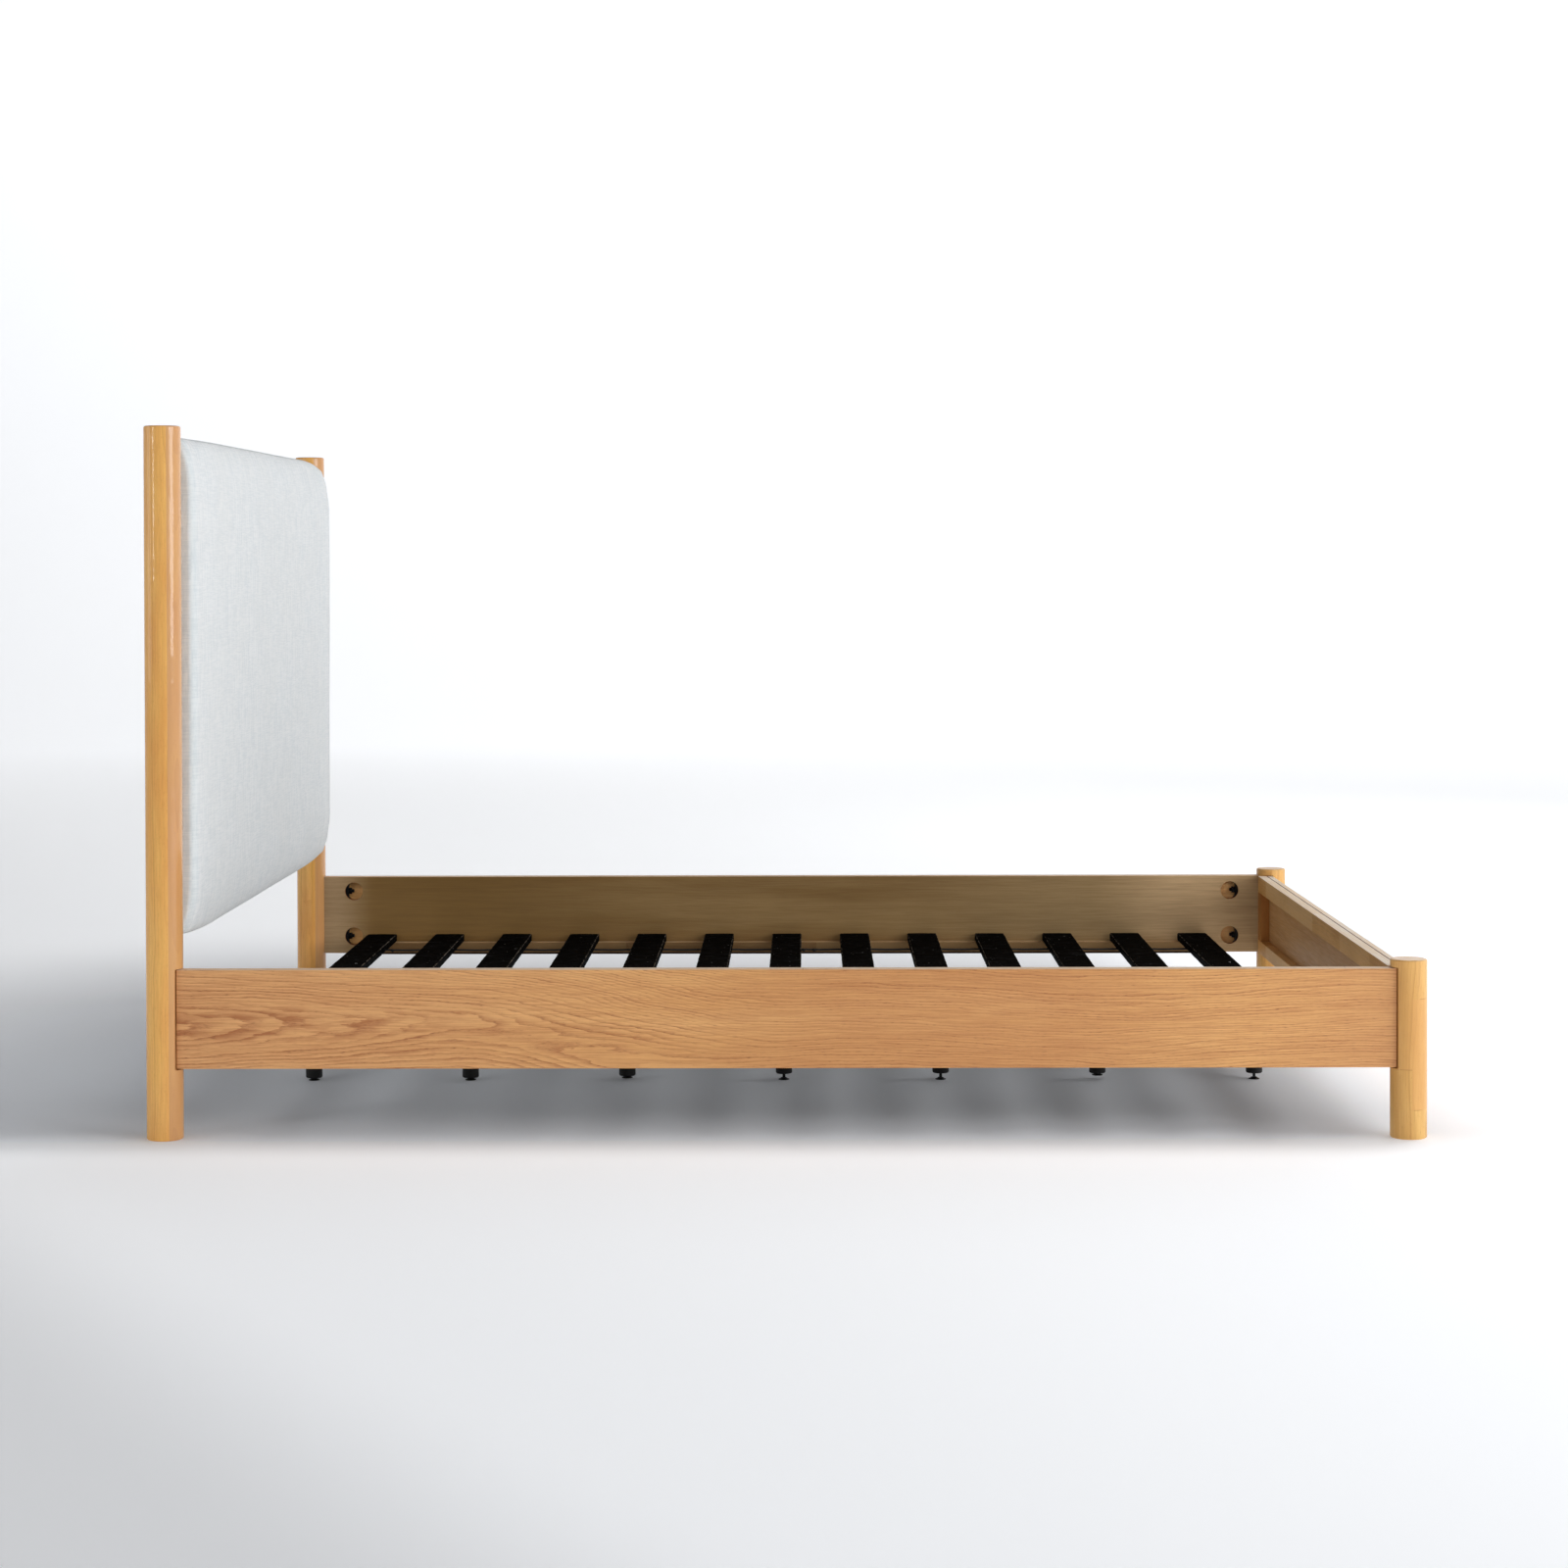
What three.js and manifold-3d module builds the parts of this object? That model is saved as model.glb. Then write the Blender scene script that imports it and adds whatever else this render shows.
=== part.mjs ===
// A wooden bed with four round posts, an upholstered headboard pad and a slatted base.
// Millimetres, +Z up, head at -X. The origin is on the floor, midway between the four posts.
// The right side of the bed is -Y, as seen by someone who lies in it.
import * as THREE from "three";
import { mergeVertices } from "three/addons/utils/BufferGeometryUtils.js";
import Module from "manifold-3d";

const wasm = await Module();
wasm.setup();

// The mattress that the bed is made for, and the room left around it.
const mattressLength = 2032;
const mattressWidth = 1524;
const mattressEndRoom = 12.5;
const mattressSideRoom = 13;

// Fits that the whole bed shares.
const seatGap = 0.3;
const cutOverrun = 2;
const mergeDistance = 0.0005;

// Posts.
const postRadius = 31.5;
const headPostHeight = 1224;
const footPostHeight = 307;
const postEdgeRadius = 3;
const postSides = 40;
const postEdgeSteps = 3;

// Notches in the posts, which hold the ends of the side rails and of the footboard.
const notchDepth = 10;
const notchRoom = 1.6;
const notchEndRoom = 1.2;
const notchCornerRadius = 3;
const notchCornerSteps = 3;

// Side rails. The inset is from the post's axis to the rail's inner face.
const railBottom = 122;
const railHeight = 170;
const railThickness = 25;
const railInset = 10;

// Bolts through the rail ends into the posts, and the round pockets where their nuts are turned on
// half-moon washers. A pocket's inset is from the post's axis.
const boltRadius = 4;
const boltSides = 12;
const boltRoom = 0.4;
const boltInsetFromTop = 32.5;
const boltInsetFromBottom = 37.5;
const boltPostLength = 34;
const boltEndShow = 5;
const nutRadius = 7.5;
const nutSides = 6;
const nutHeight = 6.5;
const washerThickness = 7;
const washerWidth = 15;
const pocketRadius = 19.7;
const pocketDepth = 19;
const pocketSides = 32;
const headPocketInset = 96;
const footPocketInset = 93;

// Footboard: a panel with a frame glued to its inner face.
const footPanelThickness = 12.9;
const footFrameThickness = 18.8;
const footTopRailHeight = 36;
const footBottomRailHeight = 29;
const footStileWidth = 41;
const footDowelRadius = 4;
const footDowelLength = 26;
const footDowelSpacing = 50;
const dowelSides = 12;
const dowelRoom = 0.4;

// Slats and the ledges that carry them.
const slatCount = 13;
const slatWidth = 65;
const slatThickness = 17;
const slatEdgeRadius = 2.5;
const slatEdgeSteps = 2;
const slatEndRoom = 4;
const headSlatInset = 160;
const footSlatInset = 178;
const ledgeHeight = 26;
const ledgeThickness = 22;
const ledgeOverhang = 1.5;

// Screws through the ledges into the side rails.
const ledgeScrewRadius = 2;
const ledgeScrewHoleRadius = 2.4;
const ledgeScrewSides = 8;
const ledgeScrewCount = 7;
const ledgeScrewEndInset = 60;
const ledgeScrewBite = 14;

// Webbing tapes under the slats, which keep them evenly spaced.
const tapeWidth = 22;
const tapeThickness = 1.6;
const tapeInset = 156;

// Support legs in two rows under every second slat. Their lower ends are not quite level.
const legRowOffset = 185;
const legRadius = 15.7;
const legEdgeRadius = 2.5;
const legSides = 16;
const legEdgeSteps = 2;
const legClearance = 5;
const legRaise = 8;
const legRaiseShares = [0, 0, 0.4, 0.9, 1, 0.9, 0.9];
const legStudRadius = 4;
const legStudLength = 12;
const legStudSides = 12;
const legBoreRadius = 3.3;
const legBoreDepth = 34;

// Levelling feet: a threaded stem with a tapered disc. Some are turned all the way in.
const discRadius = 10.5;
const discRimHeight = 1.3;
const discHeight = 4.3;
const discNeckRadius = 5;
const stemRadius = 3;
const stemLength = 28;
const footSides = 12;
const footTurnedIn = [false, false, true, false, false, true, false];

// Headboard pad, measured from the head posts' axis plane towards the foot, and from the floor.
const padBottom = 339;
const padTop = 1206;
const padBack = 22;
const padEdgeReach = 22;
const padCrownReach = 47.5;
const padRollLength = 110;
const padSideRadius = 12;
const padSideSteps = 4;
const padBackRadius = 6;
const padBackSteps = 2;
const padRollSteps = 8;
const padSpans = 4;
const padLiftLength = 240;
const padCornerLift = 9;
const coverThickness = 1.2;
const headFrameThickness = 20;
const headFrameWidth = 60;
const headBoardThickness = 9;
const headDowelRadius = 6;
const headDowelLength = 30;
const headDowelInset = 140;

// Places that follow from these sizes.
const postSpacingLength = mattressLength + 2 * mattressEndRoom + padCrownReach + postRadius;
const postSpacingWidth = mattressWidth + 2 * mattressSideRoom + 2 * railInset;
const headX = -postSpacingLength / 2;
const footX = postSpacingLength / 2;
const sideY = postSpacingWidth / 2;
const railTop = railBottom + railHeight;
const railInnerY = sideY - railInset;
const railOuterY = railInnerY + railThickness;
const railEndInset = postRadius - notchDepth + notchEndRoom;
const boltY = railInnerY + railThickness / 2;
const boltHeights = [railBottom + boltInsetFromBottom, railTop - boltInsetFromTop];
const boltTipInset = postRadius - notchDepth - boltPostLength;
const slatBottom = railBottom + ledgeHeight + seatGap;
const slatTop = slatBottom + slatThickness;
const slatLength = 2 * (railInnerY - slatEndRoom);
const slatPitch = (postSpacingLength - headSlatInset - footSlatInset) / (slatCount - 1);
const footFrameInnerX = footX - postRadius;
const footFrameOuterX = footFrameInnerX + footFrameThickness;
const footPanelInnerX = footFrameOuterX + seatGap;
const footPanelOuterX = footPanelInnerX + footPanelThickness;
const footboardEndY = sideY - railEndInset;
const footDowelX = (footPanelInnerX + footPanelOuterX) / 2;
const footDowelHeights = [-1, 1].map(
  (way) => railBottom + (railHeight + way * footDowelSpacing) / 2,
);
const padHalfWidth = sideY - postRadius - seatGap;
const headFrameBackX = headX - padBack + coverThickness + seatGap;
const headFrameFrontX = headFrameBackX + headFrameThickness;
const headDowelX = (headFrameBackX + headFrameFrontX) / 2;
const headDowelHeights = [padBottom + headDowelInset, padTop - headDowelInset];

// A closed three.js geometry as a solid that can be cut and joined.
function solid(geometry) {
  const bare = geometry.clone();
  bare.deleteAttribute("normal");
  bare.deleteAttribute("uv");
  const merged = mergeVertices(bare, mergeDistance);
  return new wasm.Manifold(
    new wasm.Mesh({
      numProp: 3,
      vertProperties: merged.attributes.position.array,
      triVerts: new Uint32Array(merged.index.array),
    }),
  );
}

// A solid as a three.js geometry again, with a flat normal on each face.
function geometryOf(body) {
  const mesh = body.getMesh();
  const geometry = new THREE.BufferGeometry();
  geometry.setAttribute("position", new THREE.BufferAttribute(mesh.vertProperties, 3));
  geometry.setIndex(new THREE.BufferAttribute(mesh.triVerts, 1));
  const faceted = geometry.toNonIndexed();
  faceted.computeVertexNormals();
  return faceted;
}

function without(body, cutters) {
  return cutters.reduce((left, cutter) => left.subtract(cutter), body);
}

function joined(body, others) {
  return others.reduce((whole, other) => whole.add(other), body);
}

// A box between two opposite corners.
function block(x0, y0, z0, x1, y1, z1) {
  const box = new THREE.BoxGeometry(Math.abs(x1 - x0), Math.abs(y1 - y0), Math.abs(z1 - z0));
  return solid(box.translate((x0 + x1) / 2, (y0 + y1) / 2, (z0 + z1) / 2));
}

// A round rod along the named axis, between two places on it. The centre gives the other two places.
function rod(axis, radius, sides, centre, from, to) {
  const geometry = new THREE.CylinderGeometry(radius, radius, Math.abs(to - from), sides);
  if (axis === "x") geometry.rotateZ(Math.PI / 2);
  if (axis === "z") geometry.rotateX(Math.PI / 2);
  const middle = new THREE.Vector3(...centre);
  middle[axis] = (from + to) / 2;
  return solid(geometry.translate(middle.x, middle.y, middle.z));
}

// A profile of radius and height points turned about the Z axis.
function turned(points, sides) {
  const profile = points.map(([radius, height]) => new THREE.Vector2(radius, height));
  return solid(new THREE.LatheGeometry(profile, sides).rotateX(Math.PI / 2));
}

// Points of a quarter round, from one angle to the next, about a centre.
function quarterRound(centreX, centreY, radius, startAngle, steps) {
  return Array.from({ length: steps + 1 }, (_, step) => {
    const angle = startAngle + (Math.PI / 2) * (step / steps);
    return [centreX + radius * Math.cos(angle), centreY + radius * Math.sin(angle)];
  });
}

// A rectangle with rounded corners, as an outline in its own plane.
function roundedOutline(x0, y0, x1, y1, radius, steps) {
  const points = [
    ...quarterRound(x1 - radius, y0 + radius, radius, -Math.PI / 2, steps),
    ...quarterRound(x1 - radius, y1 - radius, radius, 0, steps),
    ...quarterRound(x0 + radius, y1 - radius, radius, Math.PI / 2, steps),
    ...quarterRound(x0 + radius, y0 + radius, radius, Math.PI, steps),
  ];
  return new THREE.Shape(points.map(([x, y]) => new THREE.Vector2(x, y)));
}

// A rounded rectangle in X and Z, carried along Y. The rotation takes the extrusion from -Z to +Y.
function barAlongY(x0, z0, x1, z1, radius, steps, fromY, toY) {
  const outline = roundedOutline(x0, z0, x1, z1, radius, steps);
  const bar = new THREE.ExtrudeGeometry(outline, { depth: toY - fromY, bevelEnabled: false });
  return solid(bar.rotateX(Math.PI / 2).translate(0, toY, 0));
}

// The same bar turned about Z so that it runs along X, with its section in Y and Z.
function barAlongX(y0, z0, y1, z1, radius, steps, fromX, toX) {
  const outline = roundedOutline(y0, z0, y1, z1, radius, steps);
  const bar = new THREE.ExtrudeGeometry(outline, { depth: toX - fromX, bevelEnabled: false });
  return solid(bar.rotateX(Math.PI / 2).rotateZ(Math.PI / 2).translate(fromX, 0, 0));
}

const finishes = {
  headPost: { color: 0xd7a35f, roughness: 0.38 },
  footPost: { color: 0xdcb173, roughness: 0.42 },
  railOak: { color: 0xc48f62, roughness: 0.5 },
  frameWood: { color: 0xb08a5a, roughness: 0.55 },
  panelWood: { color: 0xa4805a, roughness: 0.55 },
  ledgeWood: { color: 0x8d7248, roughness: 0.6 },
  slatBlack: { color: 0x1d1b1a, roughness: 0.45 },
  tapeBlack: { color: 0x151515, roughness: 0.9 },
  legBlack: { color: 0x141414, roughness: 0.6 },
  footBlack: { color: 0x1b1b1c, roughness: 0.5 },
  linen: { color: 0xd5dadd, roughness: 0.95 },
  foam: { color: 0xe8dfc4, roughness: 1 },
  plywood: { color: 0xc9a877, roughness: 0.8 },
};

const bed = new THREE.Group();

function piece(name, finish, body, group = bed) {
  const material = new THREE.MeshStandardMaterial({ metalness: 0, ...finishes[finish] });
  const mesh = new THREE.Mesh(geometryOf(body), material);
  mesh.name = name;
  group.add(mesh);
  return mesh;
}

const sides = [
  { name: "left", way: 1 },
  { name: "right", way: -1 },
];

// A post about its own axis. inward points to the middle of the bed along X, outward to the post's own
// side along Y. The side rail's notch is open on the outer side and closed by a lip on the inner side.
function postBody(height, inward, outward) {
  const profile = [
    [0, 0],
    ...quarterRound(postRadius - postEdgeRadius, postEdgeRadius, postEdgeRadius, -Math.PI / 2, postEdgeSteps),
    ...quarterRound(postRadius - postEdgeRadius, height - postEdgeRadius, postEdgeRadius, 0, postEdgeSteps),
    [0, height],
  ];
  const reach = postRadius + cutOverrun;
  const cheek = postRadius - notchDepth;
  const notch = barAlongY(
    Math.min(inward * cheek, inward * (reach + notchCornerRadius)),
    railBottom - notchRoom,
    Math.max(inward * cheek, inward * (reach + notchCornerRadius)),
    railTop + notchRoom,
    notchCornerRadius,
    notchCornerSteps,
    Math.min(-outward * (railInset + seatGap), outward * reach),
    Math.max(-outward * (railInset + seatGap), outward * reach),
  );
  const boltEnds = [inward * (boltTipInset - boltRoom), inward * reach];
  const boltHoles = boltHeights.map((level) =>
    rod("x", boltRadius + boltRoom, boltSides, [0, outward * (boltY - sideY), level], ...boltEnds),
  );
  return without(turned(profile, postSides), [notch, ...boltHoles]);
}

function headPost({ name, way }) {
  const holeEnds = [way * (headDowelLength + dowelRoom - postRadius), -way * (postRadius + cutOverrun)];
  const dowelHoles = headDowelHeights.map((level) =>
    rod("y", headDowelRadius + dowelRoom, dowelSides, [headDowelX - headX, 0, level], ...holeEnds),
  );
  const post = piece(`head_post_${name}`, "headPost", without(postBody(headPostHeight, 1, way), dowelHoles));
  post.position.set(headX, way * sideY, 0);
}

// The foot posts have a second notch, open on the inner side, for the footboard.
function footPost({ name, way }) {
  const reach = postRadius + cutOverrun;
  const cheek = postRadius - notchDepth;
  const notch = block(
    -reach,
    -way * cheek,
    railBottom - notchRoom,
    footPanelOuterX - footX + seatGap,
    -way * reach,
    railTop + notchRoom,
  );
  const holeEnds = [way * (footDowelLength + dowelRoom - cheek), -way * reach];
  const dowelHoles = footDowelHeights.map((level) =>
    rod("y", footDowelRadius + dowelRoom, dowelSides, [footDowelX - footX, 0, level], ...holeEnds),
  );
  const body = without(postBody(footPostHeight, -1, way), [notch, ...dowelHoles]);
  const post = piece(`foot_post_${name}`, "footPost", body);
  post.position.set(footX, way * sideY, 0);
}

const ledgeFromX = headX + headSlatInset - slatWidth / 2 - ledgeOverhang;
const ledgeToX = footX - footSlatInset + slatWidth / 2 + ledgeOverhang;
const ledgeTop = railBottom + ledgeHeight;
const ledgeInnerY = railInnerY - seatGap - ledgeThickness;
const ledgeScrewHeight = railBottom + ledgeHeight / 2;
const ledgeScrewPlaces = Array.from({ length: ledgeScrewCount }, (_, index) =>
  THREE.MathUtils.lerp(
    ledgeFromX + ledgeScrewEndInset,
    ledgeToX - ledgeScrewEndInset,
    index / (ledgeScrewCount - 1),
  ),
);

// One end of a side rail: at each bolt height a pocket is cut from the inner face, and the bolt lies in
// the rail with its half-moon washer, its nut and its free end in the pocket. inward is as for a post.
function railEnd(way, postX, inward, pocketInset) {
  const pocketX = postX + inward * pocketInset;
  const seatX = pocketX - inward * (pocketRadius - washerThickness);
  const nutEndX = seatX + inward * nutHeight;
  const tipX = postX + inward * boltTipInset;
  const washerEnds = [way * (boltY - washerWidth / 2), way * (boltY + washerWidth / 2)];
  const ends = boltHeights.map((level) => {
    const centre = [pocketX, way * boltY, level];
    const pocketEnds = [way * (railInnerY - cutOverrun), way * (railInnerY + pocketDepth)];
    const disc = rod("y", pocketRadius + cutOverrun, pocketSides, centre, ...washerEnds);
    const nearPost = block(
      pocketX - inward * (pocketRadius + cutOverrun),
      washerEnds[0],
      level - pocketRadius + cutOverrun,
      seatX,
      washerEnds[1],
      level + pocketRadius - cutOverrun,
    );
    return {
      pocket: rod("y", pocketRadius, pocketSides, centre, ...pocketEnds),
      hardware: [
        disc.intersect(nearPost),
        rod("x", nutRadius, nutSides, centre, seatX, nutEndX),
        rod("x", boltRadius, boltSides, centre, tipX, nutEndX + inward * boltEndShow),
      ],
    };
  });
  return { pockets: ends.map((end) => end.pocket), hardware: ends.flatMap((end) => end.hardware) };
}

function sideRail({ name, way }) {
  const headEnd = railEnd(way, headX, 1, headPocketInset);
  const footEnd = railEnd(way, footX, -1, footPocketInset);
  const pilotEnds = [way * (railInnerY - cutOverrun), way * (railInnerY + ledgeScrewBite + seatGap)];
  const pilots = ledgeScrewPlaces.map((x) =>
    rod("y", ledgeScrewHoleRadius, ledgeScrewSides, [x, 0, ledgeScrewHeight], ...pilotEnds),
  );
  const board = block(
    headX + railEndInset,
    way * railInnerY,
    railBottom,
    footX - railEndInset,
    way * railOuterY,
    railTop,
  );
  const drilled = without(board, [...headEnd.pockets, ...footEnd.pockets, ...pilots]);
  piece(`side_rail_${name}`, "railOak", joined(drilled, [...headEnd.hardware, ...footEnd.hardware]));
}

const slatPlaces = Array.from({ length: slatCount }, (_, index) => headX + headSlatInset + index * slatPitch);
const leggedSlats = legRaiseShares.map((_, index) => 2 * index);

// A ledge with the screws that fasten it to its rail.
function slatLedge({ name, way }) {
  const screwEnds = [way * (ledgeInnerY + ledgeThickness / 2), way * (railInnerY + ledgeScrewBite)];
  const screws = ledgeScrewPlaces.map((x) =>
    rod("y", ledgeScrewRadius, ledgeScrewSides, [x, 0, ledgeScrewHeight], ...screwEnds),
  );
  const bar = block(
    ledgeFromX,
    way * ledgeInnerY,
    railBottom,
    ledgeToX,
    way * (railInnerY - seatGap),
    ledgeTop,
  );
  piece(`slat_ledge_${name}`, "ledgeWood", joined(bar, screws));
}

function slat(index) {
  const bar = barAlongY(
    -slatWidth / 2,
    slatBottom,
    slatWidth / 2,
    slatTop,
    slatEdgeRadius,
    slatEdgeSteps,
    -slatLength / 2,
    slatLength / 2,
  );
  const holeEnds = [slatBottom - cutOverrun, slatBottom + legStudLength + seatGap];
  const studHoles = leggedSlats.includes(index)
    ? sides.map(({ way }) =>
        rod("z", legStudRadius + seatGap, legStudSides, [0, way * legRowOffset, 0], ...holeEnds),
      )
    : [];
  const number = String(index + 1).padStart(2, "0");
  const board = piece(`slat_${number}`, "slatBlack", without(bar, studHoles));
  board.position.x = slatPlaces[index];
}

// A tape runs under all the slats, a little inside the ledge on its own side.
function slatTape({ name, way }) {
  const middle = way * (sideY - tapeInset);
  const top = slatBottom - seatGap;
  const tape = block(
    slatPlaces[0] - slatWidth / 2,
    middle - tapeWidth / 2,
    top - tapeThickness,
    slatPlaces[slatCount - 1] + slatWidth / 2,
    middle + tapeWidth / 2,
    top,
  );
  piece(`slat_tape_${name}`, "tapeBlack", tape);
}

// A support leg and its levelling foot, drawn about the leg's own axis. The stud in the leg's top goes
// into the slat, and the foot's stem goes into the bore in its lower end.
function supportLeg(place, { way }) {
  const number = String(2 * place + (way > 0 ? 1 : 2)).padStart(2, "0");
  const bottom = legClearance + legRaise * legRaiseShares[place];
  const top = slatBottom - seatGap;
  const edgeCentre = [legRadius - legEdgeRadius, bottom + legEdgeRadius];
  const lowerEdge = quarterRound(...edgeCentre, legEdgeRadius, -Math.PI / 2, legEdgeSteps);
  const leg = turned(
    [
      [0, bottom + legBoreDepth],
      [legBoreRadius, bottom + legBoreDepth],
      [legBoreRadius, bottom],
      ...lowerEdge,
      [legRadius, top],
      [legStudRadius, top],
      [legStudRadius, slatBottom + legStudLength],
      [0, slatBottom + legStudLength],
    ],
    legSides,
  );
  const discBottom = footTurnedIn[place] ? bottom - seatGap - discHeight : 0;
  const foot = turned(
    [
      [0, discBottom],
      [discRadius, discBottom],
      [discRadius, discBottom + discRimHeight],
      [discNeckRadius, discBottom + discHeight],
      [stemRadius, discBottom + discHeight],
      [stemRadius, discBottom + discHeight + stemLength],
      [0, discBottom + discHeight + stemLength],
    ],
    footSides,
  );
  const group = new THREE.Group();
  group.position.set(slatPlaces[leggedSlats[place]], way * legRowOffset, 0);
  piece(`support_leg_${number}`, "legBlack", leg, group);
  piece(`levelling_foot_${number}`, "footBlack", foot, group);
  bed.add(group);
}

function footboard() {
  const frameBottomTop = railBottom + footBottomRailHeight;
  const frameTopBottom = railTop - footTopRailHeight;
  const panel = block(
    footPanelInnerX,
    -footboardEndY,
    railBottom,
    footPanelOuterX,
    footboardEndY,
    railTop,
  );
  const dowelTip = sideY - postRadius + notchDepth + footDowelLength;
  const dowels = sides.flatMap(({ way }) =>
    footDowelHeights.map((level) =>
      rod(
        "y",
        footDowelRadius,
        dowelSides,
        [footDowelX, 0, level],
        way * dowelTip,
        way * (footboardEndY - footDowelLength),
      ),
    ),
  );
  piece("footboard_panel", "panelWood", joined(panel, dowels));
  piece(
    "footboard_top_rail",
    "frameWood",
    block(footFrameInnerX, -footboardEndY, frameTopBottom, footFrameOuterX, footboardEndY, railTop),
  );
  piece(
    "footboard_bottom_rail",
    "frameWood",
    block(footFrameInnerX, -footboardEndY, railBottom, footFrameOuterX, footboardEndY, frameBottomTop),
  );
  for (const { name, way } of sides) {
    const stile = block(
      footFrameInnerX,
      way * footboardEndY,
      frameBottomTop + seatGap,
      footFrameOuterX,
      way * (footboardEndY - footStileWidth),
      frameTopBottom - seatGap,
    );
    piece(`footboard_stile_${name}`, "frameWood", stile);
  }
}

// One ring of the pad at a distance from its end, in X and Z, drawn in by inset on every side. The
// front rolls back towards the top and the bottom along a quarter ellipse, the ends have a rounded
// front edge, and the lower edge lifts a little towards the ends.
function padRing(fromEnd, inset, backX) {
  const edge = Math.min(fromEnd / padSideRadius, 1);
  const pull = padSideRadius * (1 - Math.sqrt(1 - (1 - edge) ** 2));
  const lift = padCornerLift * Math.max(0, 1 - fromEnd / padLiftLength) ** 2;
  const bottom = padBottom + inset + lift;
  const top = padTop - inset;
  const frontAt = (height) => {
    const share = Math.min(Math.min(height - bottom, top - height) / padRollLength, 1);
    const roll = Math.sqrt(Math.max(0, 1 - (1 - share) ** 2));
    return headX + padEdgeReach + (padCrownReach - padEdgeReach) * roll - inset - pull;
  };
  const rolls = Array.from({ length: padRollSteps + 1 }, (_, step) => (step / padRollSteps) ** 2);
  const lower = rolls.map((share) => bottom + share * padRollLength);
  const upper = rolls.map((share) => top - share * padRollLength).reverse();
  const front = [...lower, (bottom + top) / 2, ...upper].map((height) => [frontAt(height), height]);
  const backRadius = padBackRadius - inset;
  return [
    ...front,
    ...quarterRound(backX + backRadius, top - backRadius, backRadius, Math.PI / 2, padBackSteps),
    ...quarterRound(backX + backRadius, bottom + backRadius, backRadius, Math.PI, padBackSteps),
  ];
}

// The pad's crowned form, drawn in by inset from its outer faces, with its back at backX.
function padForm(inset, backX) {
  const half = padHalfWidth - inset;
  const rounds = Array.from(
    { length: padSideSteps },
    (_, step) => padSideRadius * (1 - Math.cos((Math.PI / 2) * (step / padSideSteps))),
  );
  const nearEnd = [...rounds, padSideRadius, padLiftLength / 2, padLiftLength];
  const middle = Array.from({ length: padSpans - 1 }, (_, step) =>
    THREE.MathUtils.lerp(-half + padLiftLength, half - padLiftLength, (step + 1) / padSpans),
  );
  const places = [
    ...nearEnd.map((fromEnd) => fromEnd - half),
    ...middle,
    ...nearEnd.map((fromEnd) => half - fromEnd).reverse(),
  ];
  const rings = places.map((y) =>
    padRing(half - Math.abs(y), inset, backX).map(([x, z]) => [x, y, z]),
  );
  return solid(loft(rings));
}

// A closed skin over rings of as many points each, with a flat face on the first and the last.
function loft(rings) {
  const count = rings[0].length;
  const faces = [];
  for (let ring = 0; ring < rings.length - 1; ring += 1) {
    for (let point = 0; point < count; point += 1) {
      const next = (point + 1) % count;
      const [a, b] = [ring * count + point, ring * count + next];
      faces.push(a, a + count, b, b, a + count, b + count);
    }
  }
  const last = (rings.length - 1) * count;
  for (let point = 1; point < count - 1; point += 1) {
    faces.push(0, point, point + 1);
    faces.push(last, last + point + 1, last + point);
  }
  const geometry = new THREE.BufferGeometry();
  geometry.setAttribute("position", new THREE.Float32BufferAttribute(rings.flat(2), 3));
  geometry.setIndex(faces);
  return geometry;
}

// The pad from back to front: a glued frame with its dowels, a board, foam, and a cover round it all.
function headboard() {
  const backX = headX - padBack;
  const half = padHalfWidth - coverThickness - seatGap;
  const inside = padForm(coverThickness + seatGap, headFrameBackX);
  const layer = (fromX, toX) =>
    inside.intersect(block(fromX, -padHalfWidth, padBottom, toX, padHalfWidth, padTop));
  const window = block(
    headFrameBackX - cutOverrun,
    -half + headFrameWidth,
    padBottom + padCornerLift + headFrameWidth,
    headFrameFrontX + cutOverrun,
    half - headFrameWidth,
    padTop - headFrameWidth,
  );
  const dowelRods = (radius, fromY, toY) =>
    sides.flatMap(({ way }) =>
      headDowelHeights.map((level) =>
        rod("y", radius, dowelSides, [headDowelX, 0, level], way * fromY, way * toY),
      ),
    );
  const dowels = dowelRods(headDowelRadius, half - headDowelLength, sideY - postRadius + headDowelLength);
  const dowelHoles = dowelRods(headDowelRadius + dowelRoom, half - cutOverrun, padHalfWidth + cutOverrun);
  const boardBackX = headFrameFrontX + seatGap;
  const foamBackX = boardBackX + headBoardThickness + seatGap;
  const frame = layer(headFrameBackX - cutOverrun, headFrameFrontX).subtract(window);
  piece("headboard_frame", "plywood", joined(frame, dowels));
  piece("headboard_board", "plywood", layer(boardBackX, boardBackX + headBoardThickness));
  piece("headboard_foam", "foam", layer(foamBackX, headX + padCrownReach));
  const shell = padForm(0, backX).subtract(padForm(coverThickness, backX + coverThickness));
  piece("headboard_cover", "linen", without(shell, dowelHoles));
}

for (const side of sides) {
  headPost(side);
  footPost(side);
  sideRail(side);
  slatLedge(side);
  slatTape(side);
}
footboard();
headboard();
slatPlaces.forEach((_, index) => slat(index));
leggedSlats.forEach((_, place) => sides.forEach((side) => supportLeg(place, side)));

export default bed;
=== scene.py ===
import math

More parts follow.
